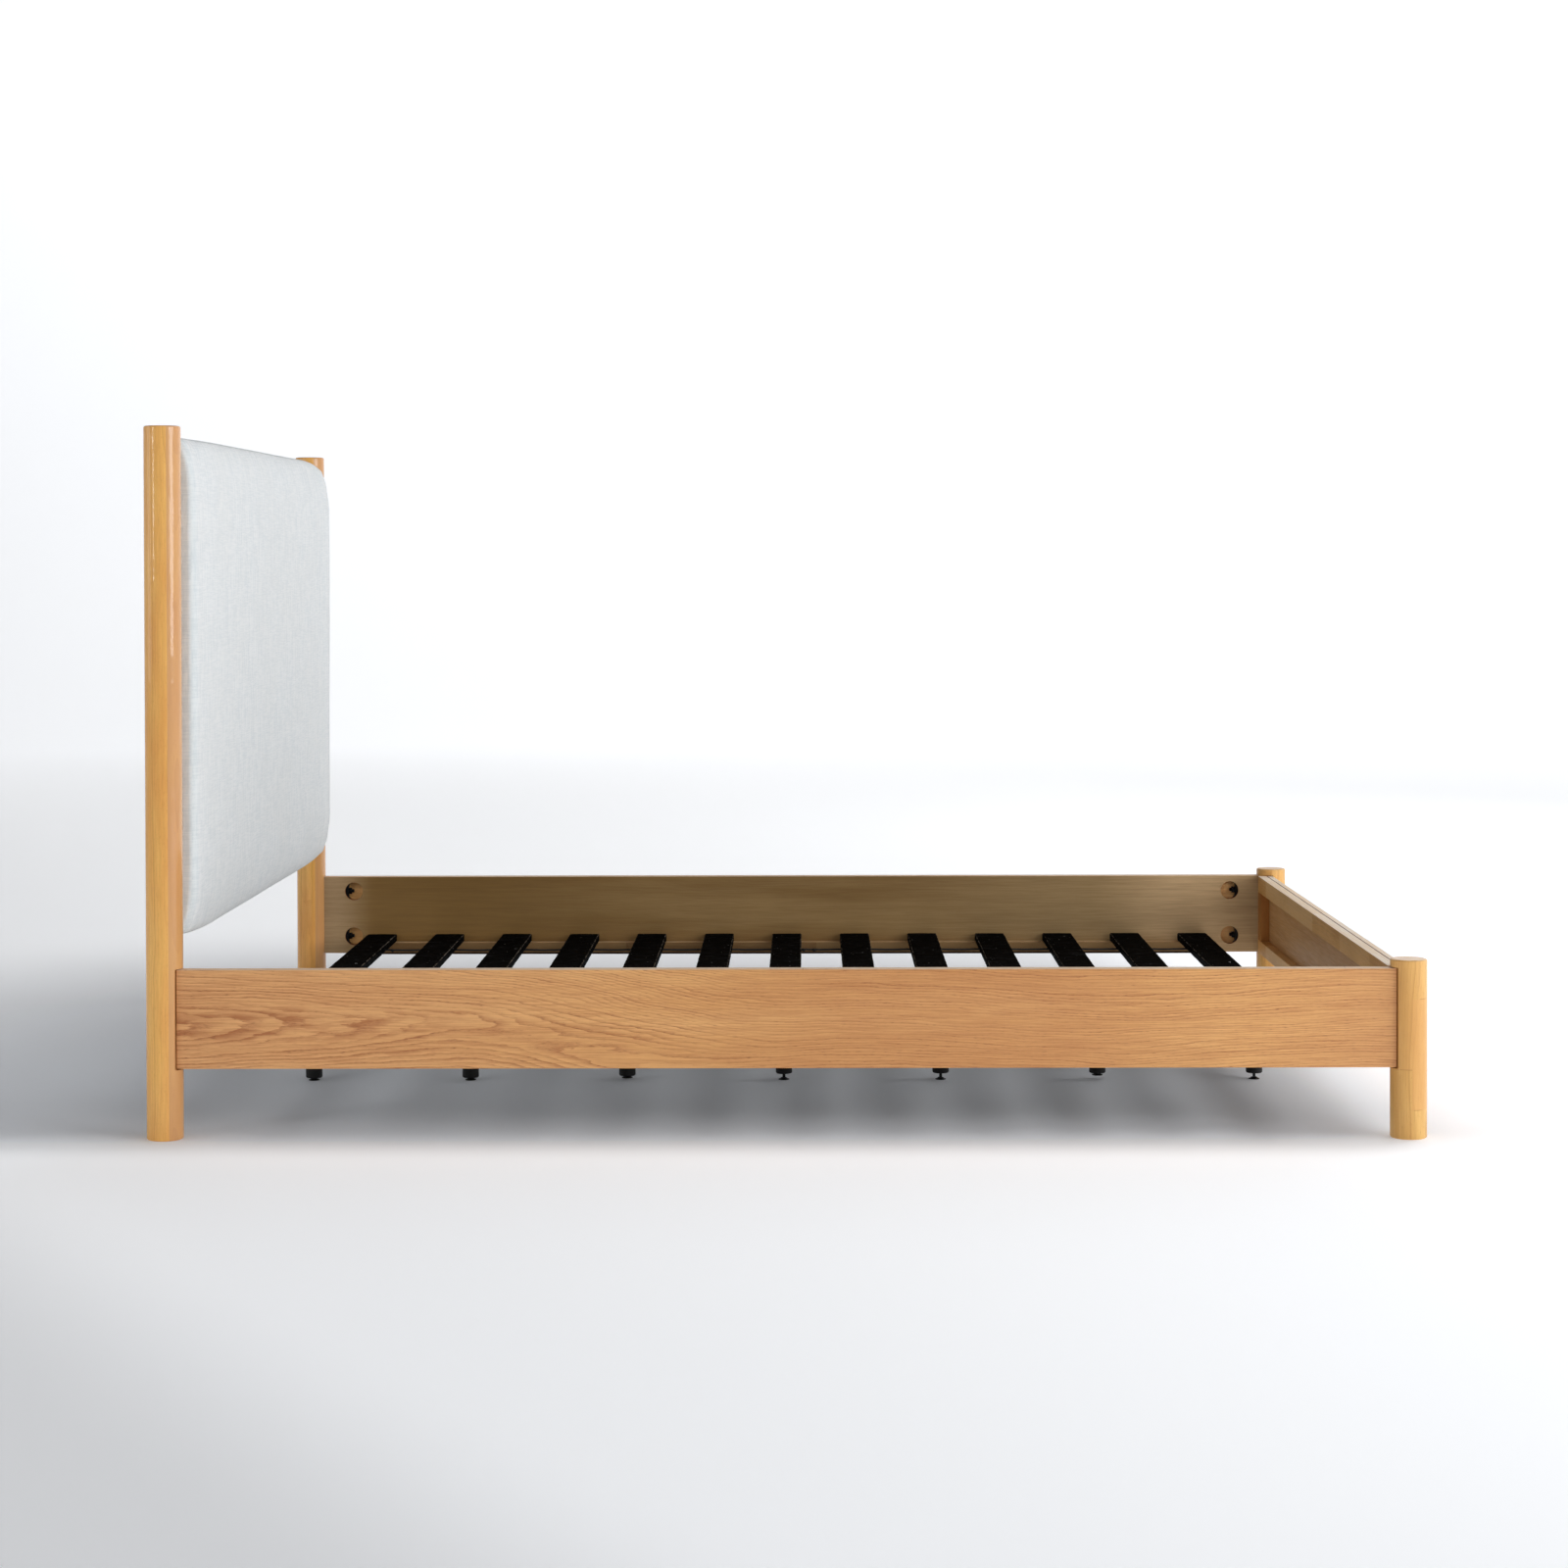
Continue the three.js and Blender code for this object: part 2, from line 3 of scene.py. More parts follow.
import bmesh
import bpy
import numpy as np
from mathutils import Matrix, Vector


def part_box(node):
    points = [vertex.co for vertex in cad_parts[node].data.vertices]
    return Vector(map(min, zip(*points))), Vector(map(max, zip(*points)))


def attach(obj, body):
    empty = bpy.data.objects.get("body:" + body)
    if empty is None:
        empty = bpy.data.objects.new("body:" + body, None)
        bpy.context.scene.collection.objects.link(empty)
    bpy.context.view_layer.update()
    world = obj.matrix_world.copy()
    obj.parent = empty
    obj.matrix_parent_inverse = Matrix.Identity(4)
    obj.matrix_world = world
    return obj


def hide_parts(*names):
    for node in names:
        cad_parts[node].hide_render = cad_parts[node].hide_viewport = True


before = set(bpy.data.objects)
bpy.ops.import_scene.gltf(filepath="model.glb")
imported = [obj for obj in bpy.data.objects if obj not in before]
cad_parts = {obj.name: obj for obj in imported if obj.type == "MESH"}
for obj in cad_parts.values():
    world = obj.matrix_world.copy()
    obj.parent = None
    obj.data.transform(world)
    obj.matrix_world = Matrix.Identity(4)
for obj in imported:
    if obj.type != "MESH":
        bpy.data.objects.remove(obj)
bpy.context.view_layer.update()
print("frame loaded:", len(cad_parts), "nodes")

# Metres. The head of the bed is at -X and the camera looks along +Y, at the bed's right side.
sides = {"left": 1, "right": -1}  # each side's way along Y


def corners(node):
    low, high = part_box(node)
    return np.array(low), np.array(high)


# Camera
camera = dict(
    place=(0.0358, -6.0642, 0.9852),
    pitchDown=0.0149,
    turn=0.0024,
    roll=-0.0018,
    lens=70.72,
    sensor=36.0,
    shift=(-0.00965, -0.11084),
)


def makeCamera():
    data = bpy.data.cameras.new("camera")
    data.lens = camera["lens"]
    data.sensor_width = camera["sensor"]
    data.shift_x, data.shift_y = camera["shift"]
    data.clip_end = 100
    item = bpy.data.objects.new("camera", data)
    bpy.context.scene.collection.objects.link(item)
    item.matrix_world = (
        Matrix.Translation(camera["place"])
        @ Matrix.Rotation(camera["turn"], 4, "Z")
        @ Matrix.Rotation(math.pi / 2 - camera["pitchDown"], 4, "X")
        @ Matrix.Rotation(camera["roll"], 4, "Z")
    )
    bpy.context.scene.camera = item
    bpy.context.scene.view_settings.view_transform = "Standard"
    print("camera set")


makeCamera()


# Meshes over grids of points. Rows run along a piece and columns go round it. Each end gets a flat
# face, or with ringed the last row joins the first. A board may keep a mark on its rounded edges.
def gridFaces(rowCount, columnCount, ringed, start):
    index = start + np.arange(rowCount * columnCount).reshape(rowCount, columnCount)
    if ringed:
        index = np.vstack([index, index[:1]])
    onward = np.roll(index, -1, axis=1)
    faces = np.stack([index[:-1], onward[:-1], onward[1:], index[1:]], axis=-1).reshape(-1, 4).tolist()
    if not ringed:
        faces += [index[0, ::-1].tolist(), index[-1].tolist()]
    return faces


def gridMesh(name, grids, ringed, edge):
    points, faces, start = [], [], 0
    for rows in grids:
        points.append(rows.reshape(-1, 3))
        faces += gridFaces(*rows.shape[:2], ringed, start)
        start += rows.shape[0] * rows.shape[1]
    mesh = bpy.data.meshes.new(name)
    mesh.from_pydata(np.concatenate(points).tolist(), [], faces)
    if edge is not None:
        layer = mesh.attributes.new("edge", "FLOAT", "POINT")
        layer.data.foreach_set("value", edge.ravel().astype(np.float32))
    work = bmesh.new()
    work.from_mesh(mesh)
    bmesh.ops.remove_doubles(work, verts=work.verts, dist=1e-6)
    bmesh.ops.recalc_face_normals(work, faces=work.faces)
    work.to_mesh(mesh)
    work.free()
    return mesh


def linkItem(name, mesh):
    item = bpy.data.objects.new(name, mesh)
    bpy.context.scene.collection.objects.link(item)
    return item


def addPiece(name, *grids, ringed=False, edge=None):
    return linkItem(name, gridMesh(name, grids, ringed, edge))


# Cuts closed grids out of a piece, and keeps the result as its mesh.
def cut(item, grids):
    tools = [addPiece("cutter", rows) for rows in grids]
    for tool in tools:
        step = item.modifiers.new("cut", "BOOLEAN")
        step.operation = "DIFFERENCE"
        step.solver = "EXACT"
        step.object = tool
    shaped = item.evaluated_get(bpy.context.evaluated_depsgraph_get())
    mesh = bpy.data.meshes.new_from_object(shaped)
    item.modifiers.clear()
    item.data = mesh
    for tool in tools:
        bpy.data.objects.remove(tool)


# Smooth rounds with flat flats, then the finishes by name, the body and the CAD nodes that the piece
# stands for.
def finishPiece(item, names, stands=(), body="frame", sharpFrom=40, weighted=True):
    item.data.shade_smooth()
    item.data.set_sharp_from_angle(angle=math.radians(sharpFrom))
    if weighted:
        flats = item.modifiers.new("flats", "WEIGHTED_NORMAL")
        flats.keep_sharp = True
    item.data.materials.clear()
    for name in names.split():
        item.data.materials.append(finishes[name])
    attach(item, body)
    if stands:
        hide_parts(*stands)


# A board with rounded edges: p = centre + sign(n) (half - e) + e n, where n runs over the directions of
# a sphere. Spans divide its length and flats divide each face across it. The second result is 1 in the
# middle of a rounded edge and 0 on the flats.
def boardRows(low, high, edge, axis="x", steps=3, spans=1, flats=1):
    low, high = np.minimum(low, high), np.maximum(low, high)
    centre, half = (low + high) / 2, (high - low) / 2
    along = "xyz".index(axis)
    first, second = (along + 1) % 3, (along + 2) % 3
    quarter = np.linspace(0, math.pi / 2, steps + 1)
    glide = np.linspace(1, -1, flats + 1)[1:-1]
    angle, signFirst, signSecond = [], [], []
    turns = [(1, 1), (-1, 1), (-1, -1), (1, -1)]
    for number, (here, after) in enumerate(zip(turns, turns[1:] + turns[:1])):
        start = number * math.pi / 2
        angle += [start + quarter, np.full(len(glide), start + math.pi / 2)]
        for signs, place in ((signFirst, 0), (signSecond, 1)):
            moving = here[place] * glide if here[place] != after[place] else np.full(len(glide), here[place])
            signs += [np.full(steps + 1, here[place]), moving]
    angle, signFirst, signSecond = (np.concatenate(part) for part in (angle, signFirst, signSecond))
    tilt = np.concatenate([quarter - math.pi / 2, np.zeros(spans - 1), quarter])
    ends = np.concatenate([-np.ones(steps + 1), np.linspace(-1, 1, spans + 1)[1:-1], np.ones(steps + 1)])
    rows = np.empty((len(tilt), len(angle), 3))
    out = edge * np.cos(tilt)[:, None]
    rows[..., along] = (centre[along] + ends * (half[along] - edge) + edge * np.sin(tilt))[:, None]
    rows[..., first] = centre[first] + signFirst * (half[first] - edge) + out * np.cos(angle)
    rows[..., second] = centre[second] + signSecond * (half[second] - edge) + out * np.sin(angle)
    return rows, np.broadcast_to(np.abs(np.sin(2 * angle)), rows.shape[:2])


# Rings round an axis through a centre: p = centre + r (cos t, sin t), at places along the axis.
def ringRows(places, r, t, centre, axis):
    along = "xyz".index(axis)
    first, second = (along + 1) % 3, (along + 2) % 3
    rows = np.empty((len(places), len(t), 3))
    rows[..., along] = np.reshape(places, (-1, 1))
    rows[..., first] = centre[first] + r * np.cos(t)
    rows[..., second] = centre[second] + r * np.sin(t)
    return rows


def circle(columns):
    return np.linspace(0, 2 * math.pi, columns, endpoint=False)


# A profile of (radius, place) points turned about an axis.
def turnedRows(profile, centre, axis, columns):
    radius, places = np.array(profile, float).T
    return ringRows(places, radius[:, None], circle(columns), centre, axis)


def rodRows(radius, start, end, centre, axis, columns):
    return turnedRows([(0, start), (radius, start), (radius, end), (0, end)], centre, axis, columns)


# Points of an arc in a profile: c + r (cos a, sin a) from one angle to another, in degrees.
def arc(centreRadius, centrePlace, radius, start, end, steps=5):
    a = np.radians(np.linspace(start, end, steps + 1))
    return np.stack([centreRadius + radius * np.cos(a), centrePlace + radius * np.sin(a)], axis=1).tolist()


# A threaded rod: r(s, t) = r0 - depth |2 frac(s / pitch - t / turn) - 1|, a ridge that climbs one pitch
# in each turn, and that fades out at both ends.
def threadRows(radius, depth, pitch, start, end, centre, axis, columns, perPitch):
    count = max(int(abs(end - start) / pitch * perPitch), 4)
    s = np.linspace(start, end, count + 1)
    t = circle(columns)
    ridge = np.abs(2 * ((s[:, None] / pitch - t / (2 * math.pi)) % 1) - 1)
    fade = np.clip(np.minimum(np.abs(s - start), np.abs(s - end)) / pitch, 0, 1)[:, None]
    return ringRows(s, radius - depth * (1 - (1 - ridge) * fade), t, centre, axis)


def faceNormals(item):
    normals = np.empty(len(item.data.polygons) * 3)
    item.data.polygons.foreach_get("normal", normals)
    return normals.reshape(-1, 3)


# Gives each face the finish with that number in the piece's list.
def paintFaces(item, numbers):
    item.data.polygons.foreach_set("material_index", numbers.astype(np.int32))


# Shader helpers. A tone is a colour as it looks on screen, 0 to 255.
def tone(red, green, blue):
    shown = np.array([red, green, blue]) / 255
    linear = np.where(shown <= 0.04045, shown / 12.92, ((shown + 0.055) / 1.055) ** 2.4)
    return (*linear.tolist(), 1.0)


def newFinish(name, **settings):
    finish = bpy.data.materials.new(name)
    finish.use_nodes = True
    tree = finish.node_tree
    shader = tree.nodes["Principled BSDF"]
    for socket, value in settings.items():
        shader.inputs[socket.replace("_", " ")].default_value = value
    return finish, tree, shader


def put(tree, kind, inputs, **settings):
    node = tree.nodes.new("ShaderNode" + kind)
    for name, value in settings.items():
        setattr(node, name, value)
    for socket, value in inputs.items():
        if isinstance(value, bpy.types.NodeSocket):
            tree.links.new(value, node.inputs[socket])
        else:
            node.inputs[socket].default_value = value
    return node


def sums(tree, operation, first, second=0.0, third=0.0):
    return put(tree, "Math", {0: first, 1: second, 2: third}, operation=operation).outputs[0]


def times(tree, product, *others):
    for other in others:
        product = sums(tree, "MULTIPLY", product, other)
    return product


def mixTone(tree, share, first, second, how="MIX"):
    return put(tree, "Mix", {0: share, 6: first, 7: second}, data_type="RGBA", blend_type=how).outputs[2]


# A smooth rise or fall from toLow to toHigh, while the value runs from low to high.
def ramp(tree, value, low, high, toLow=0.0, toHigh=1.0):
    ends = {0: value, 1: low, 2: high, 3: toLow, 4: toHigh}
    return put(tree, "MapRange", ends, interpolation_type="SMOOTHSTEP").outputs[0]


# Lays a shade over a colour, from none where the value is low to a share where it is high.
def overlay(tree, colour, shade, value, low, high, share):
    return mixTone(tree, ramp(tree, value, low, high, 0.0, share), colour, shade)


# Noise over sockets or numbers that are stretched by a scale for each of the three.
def grainNoise(tree, axes, scales, detail=2.0, roughness=0.5, seed=0.0):
    parts = [times(tree, axis, scale) for axis, scale in zip(axes, scales)]
    vector = put(tree, "CombineXYZ", dict(enumerate(parts))).outputs[0]
    offset = (seed, seed * 0.37, seed * 0.71)
    shifted = put(tree, "VectorMath", {0: vector, 1: offset}, operation="ADD").outputs[0]
    node = put(tree, "TexNoise", {"Vector": shifted, "Scale": 1.0, "Detail": detail, "Roughness": roughness})
    return node.outputs[0]


# Object coordinates as along, across and through the grain.
def grainAxes(tree, along, across, through):
    place = put(tree, "TexCoord", {}).outputs["Object"]
    parts = put(tree, "SeparateXYZ", {0: place}).outputs
    return [parts["xyz".index(axis)] for axis in (along, across, through)]


def addBump(tree, shader, height, distance, strength, socket="Normal"):
    bump = put(tree, "Bump", {"Height": height, "Distance": distance, "Strength": strength})
    tree.links.new(bump.outputs[0], shader.inputs[socket])


def hypot(tree, first, second):
    squares = [times(tree, part, part) for part in (first, second)]
    return sums(tree, "SQRT", sums(tree, "ADD", *squares))


# A number from 0 to 1 for each whole number.
def chanceFor(tree, number):
    return put(tree, "TexWhiteNoise", {"W": number}, noise_dimensions="1D").outputs[0]


# Points of a smooth path: the first height, and a ramp from each point to the next.
def pathThrough(tree, value, points):
    height = points[0][1]
    for (fromX, fromY), (toX, toY) in zip(points, points[1:]):
        height = sums(tree, "ADD", height, ramp(tree, value, fromX, toX, 0.0, toY - fromY))
    return height


def swayed(tree, value, noise, amount):
    return sums(tree, "MULTIPLY_ADD", sums(tree, "SUBTRACT", noise, 0.5), amount, value)


# Oak veneer cut from the side of a log. The growth rings are R = sqrt(d^2 + v^2) round the log's heart:
# v is the place across the board from its centre line, and d, the depth under the face, changes along the
# board. Where d grows the rings make nested points, and where it is small they run straight.
def oakVeneer(name, look):
    finish, tree, shader = newFinish(name, **look["shader"])
    along, across, through = grainAxes(tree, *look["axes"])
    axes = (along, across, through)
    seed = look["seed"]
    swing = grainNoise(tree, axes, (2.3, 11, 11), 2, seed=seed)
    wave = grainNoise(tree, axes, (9, 42, 42), 2, seed=seed + 3)
    jitter = grainNoise(tree, axes, (42, 210, 210), 2, 0.6, seed=seed + 4)
    depth = swayed(tree, pathThrough(tree, along, look["depth"]), swing, look["depthSway"])
    v = sums(tree, "SUBTRACT", across, pathThrough(tree, along, look["centre"]))
    v = swayed(tree, v, swing, look["swing"])
    radius = swayed(tree, hypot(tree, depth, v), wave, look["wave"])
    radius = swayed(tree, radius, jitter, look["jitter"])
    phase = sums(tree, "DIVIDE", radius, look["ring"])
    share = sums(tree, "FRACT", phase)
    chance = chanceFor(tree, sums(tree, "FLOOR", phase))
    early = sums(tree, "POWER", sums(tree, "SUBTRACT", 1.0, share), look["sharpness"])
    fading = ramp(tree, grainNoise(tree, axes, (5, 60, 60), 2, seed=seed + 6), 0.3, 0.62, 0.45, 1.0)
    strength = ramp(tree, chance, 0, 1, look["weakest"], 1.1)
    ring = times(tree, early, ramp(tree, share, 0.0, 0.10), fading, strength)
    patch = grainNoise(tree, axes, (1.6, 16, 16), 3, 0.55, seed=seed + 7)
    fibre = grainNoise(tree, axes, (14, 520, 520), 3, 0.65, seed=seed)
    streak = grainNoise(tree, axes, (5, 150, 150), 2, 0.6, seed=seed + 8)
    pores = ramp(tree, grainNoise(tree, axes, (85, 1500, 1500), 1), 0.56, 0.68)
    pores = times(tree, pores, ramp(tree, ring, 0.05, 0.5, 0.15, 1.0))
    colour = mixTone(tree, ramp(tree, patch, 0.35, 0.65), look["light"], look["mid"])
    for shade, fade in look["tints"]:
        colour = mixTone(tree, ramp(tree, along, *fade), colour, shade)
    if look["blotch"]:
        x, reachX, reachY, amount = look["blotch"]
        middle = sums(tree, "SUBTRACT", 1.0, ramp(tree, sums(tree, "ABSOLUTE", v), 0.3 * reachY, reachY))
        apex = times(tree, middle, ramp(tree, along, x - reachX, x + reachX, 1.0, 0.0))
        stain = ramp(tree, grainNoise(tree, axes, (11, 60, 60), 2, 0.6, seed=seed + 5), 0.47, 0.56)
        soft = sums(tree, "POWER", sums(tree, "SUBTRACT", 1.0, share), 1.2)
        soft = ramp(tree, soft, 0.0, 1.0, 0.3, 1.0)
        stain = times(tree, apex, stain, soft, amount)
        colour = mixTone(tree, stain, colour, look["dark"])
    colour = mixTone(tree, times(tree, ring, look["ringShare"]), colour, look["dark"])
    colour = overlay(tree, colour, look["dark"], streak, 0.35, 0.7, look["streakShare"])
    colour = overlay(tree, colour, look["dark"], fibre, 0.35, 0.7, look["fibreShare"])
    colour = mixTone(tree, times(tree, pores, look["poreShare"]), colour, look["pore"])
    tree.links.new(colour, shader.inputs["Base Color"])
    tree.links.new(ramp(tree, fibre, 0.3, 0.7, 0.4, 0.55), shader.inputs["Roughness"])
    height = sums(tree, "SUBTRACT", times(tree, fibre, 0.4), times(tree, pores, 0.8))
    addBump(tree, shader, height, 0.0002, 0.6)
    return finish


# Turned or planed solid wood. The rings stand round a heart outside the piece, which wanders a little
# along the grain, so that straight lines and long points both show.
def solidWood(name, look):
    finish, tree, shader = newFinish(name, **look["shader"])
    along, across, through = grainAxes(tree, *look["axes"])
    axes = (along, across, through)
    drift = grainNoise(tree, axes, (1.3, 5, 5), 2, seed=look["seed"])
    figure = grainNoise(tree, axes, (14, 45, 45), 2, seed=look["seed"] + 5)
    a = swayed(tree, sums(tree, "SUBTRACT", across, look["heart"][0]), drift, 0.05)
    b = swayed(tree, sums(tree, "SUBTRACT", through, look["heart"][1]), figure, 0.006)
    phase = sums(tree, "DIVIDE", hypot(tree, a, b), look["ring"])
    chance = chanceFor(tree, sums(tree, "FLOOR", phase))
    early = sums(tree, "POWER", sums(tree, "SUBTRACT", 1.0, sums(tree, "FRACT", phase)), look["sharpness"])
    ring = times(tree, early, ramp(tree, chance, 0.0, 1.0, 0.2, 1.0))
    patch = grainNoise(tree, axes, (3.5, 18, 18), 3, 0.6, seed=look["seed"] + 9)
    fibre = grainNoise(tree, axes, (30, 900, 900), 2, 0.6, seed=look["seed"])
    fleck = ramp(tree, grainNoise(tree, axes, (120, 700, 700), 1, seed=look["seed"] + 1), 0.62, 0.72)
    colour = mixTone(tree, ramp(tree, patch, 0.3, 0.7), look["light"], look["mid"])
    colour = mixTone(tree, times(tree, ring, look["ringShare"]), colour, look["dark"])
    colour = overlay(tree, colour, look["dark"], fibre, 0.35, 0.7, 0.2)
    colour = mixTone(tree, times(tree, fleck, 0.22), colour, look["dark"])
    # A paler band down one side of a post: on the head posts a second layer of wood, partly a painted
    # reflection of the pad beside it.
    if "side" in look:
        place, share, shade = look["side"]
        colour = overlay(tree, colour, shade, across, place - 0.0004, place + 0.0004, share)
    if "block" in look:
        colour = jointTones(tree, axes, colour, look)
    # A thin dark line along one place: a seam on the footboard's top, painted shade along the ledges' lower
    # edge.
    if "seamAndShadeLine" in look:
        axis, place, half, shade = look["seamAndShadeLine"]
        off = sums(tree, "ABSOLUTE", sums(tree, "SUBTRACT", axes[axis], place))
        colour = mixTone(tree, ramp(tree, off, half, half * 2, 1.0, 0.0), colour, shade)
    tree.links.new(colour, shader.inputs["Base Color"])
    low, high = look["roughness"]
    tree.links.new(ramp(tree, fibre, 0.3, 0.7, low, high), shader.inputs["Roughness"])
    if "ripple" in look:
        lacquer = grainNoise(tree, axes, (26, 70, 70), 2, seed=look["seed"] + 4)
        fibre = sums(tree, "MULTIPLY_ADD", lacquer, look["ripple"], times(tree, fibre, 0.3))
        addBump(tree, shader, fibre, 0.00015, 1.0, "Coat Normal")
    addBump(tree, shader, fibre, 0.00015, look["bump"])
    return finish


# Lengths of wood joined end to end, in one or more layers side by side: each block has a tone of its own,
# and a thin dark joint.
def jointTones(tree, axes, colour, look):
    layer = sums(tree, "ADD", axes[1], look["layerShift"])
    layer = sums(tree, "FLOOR", sums(tree, "DIVIDE", layer, look["layer"]))
    shift = chanceFor(tree, layer)
    place = sums(tree, "DIVIDE", sums(tree, "ADD", axes[0], look["blockShift"]), look["block"])
    place = sums(tree, "ADD", place, times(tree, shift, 3.0))
    number = sums(tree, "ADD", sums(tree, "FLOOR", place), times(tree, layer, 37.0))
    chance = chanceFor(tree, number)
    colour = overlay(tree, colour, look["blockTone"], chance, 0.0, 1.0, look["blockShare"])
    share = sums(tree, "FRACT", place)
    fromEnd = sums(tree, "MINIMUM", share, sums(tree, "SUBTRACT", 1.0, share))
    joint = ramp(tree, times(tree, fromEnd, look["block"]), 0.0003, 0.0011, 0.5, 0.0)
    broken = ramp(tree, grainNoise(tree, axes, (9, 60, 60), 1, seed=look["seed"] + 2), 0.45, 0.55)
    return mixTone(tree, times(tree, joint, broken), colour, look["dark"])


veneer = dict(
    axes=("x", "z", "y"),
    shader=dict(Coat_Weight=0.25, Coat_Roughness=0.26),
    seed=2.0,
    ring=0.0048,
    sharpness=2.3,
    weakest=0.4,
    depth=((-1.06, 0.038), (-0.85, 0.048), (-0.50, 0.064), (-0.25, 0.060), (0.25, 0.020), (1.06, 0.014)),
    depthSway=0.024,
    centre=((-1.06, 0.192), (-0.62, 0.197), (0.02, 0.088), (0.60, 0.070), (1.06, 0.084)),
    swing=0.034,
    wave=0.0075,
    jitter=0.0024,
    ringShare=0.92,
    streakShare=0.14,
    fibreShare=0.40,
    poreShare=0.9,
    blotch=(-0.60, 0.22, 0.042, 0.75),
    light=tone(239, 184, 115),
    mid=tone(227, 169, 100),
    tints=[
        (tone(230, 170, 114), (-1.05, 0.1, 0.55, 0.0)),
        (tone(204, 142, 84), (-0.25, 0.15, 0.0, 0.55)),
        (tone(234, 177, 108), (0.42, 0.75, 0.0, 0.85)),
        (tone(212, 154, 96), (0.80, 1.05, 0.0, 0.5)),
    ],
    dark=tone(170, 99, 48),
    pore=tone(142, 78, 38),
)
satin = dict(
    veneer,
    shader=dict(Specular_IOR_Level=0.15),
    seed=12.0,
    ring=0.0065,
    ringShare=0.10,
    streakShare=0.16,
    fibreShare=0.22,
    poreShare=0.08,
    blotch=None,
    light=tone(166, 134, 88),
    mid=tone(146, 114, 70),
    # Painted light and shade: lighter and darker bands along the inner face, as the light falls along it.
    tints=[
        (tone(132, 100, 54), (-0.75, -0.15, 0.9, 0.0)),
        (tone(180, 150, 112), (-1.02, -0.92, 1.0, 0.0)),
        (tone(176, 148, 106), (0.1, 0.7, 0.0, 0.8)),
        (tone(218, 184, 140), (0.66, 0.86, 0.0, 0.75)),
        (tone(160, 130, 92), (0.92, 1.0, 0.0, 0.4)),
    ],
    dark=tone(108, 78, 44),
    pore=tone(92, 74, 50),
)
post = dict(
    axes=("z", "x", "y"),
    seed=4.0,
    heart=(-1.15, -0.72),
    ring=0.0046,
    sharpness=2.0,
    ringShare=0.5,
    light=tone(252, 196, 106),
    mid=tone(238, 170, 88),
    dark=tone(184, 118, 58),
    roughness=(0.34, 0.46),
    shader=dict(Specular_IOR_Level=0.1, Coat_Weight=0.8, Coat_Roughness=0.05),
    bump=0.25,
    ripple=3.0,
)
beam = dict(
    axes=("y", "z", "x"),
    seed=21.0,
    heart=(0.14, 1.2),
    ring=0.005,
    sharpness=1.8,
    ringShare=0.4,
    light=tone(226, 172, 102),
    mid=tone(206, 150, 84),
    dark=tone(164, 112, 64),
    roughness=(0.5, 0.64),
    shader=dict(Specular_IOR_Level=0.15),
    block=0.31,
    blockShift=0.05,
    blockShare=0.5,
    blockTone=tone(238, 196, 136),
    layer=100.0,  # wider than any piece: one layer
    layerShift=50.0,
    bump=0.4,
)

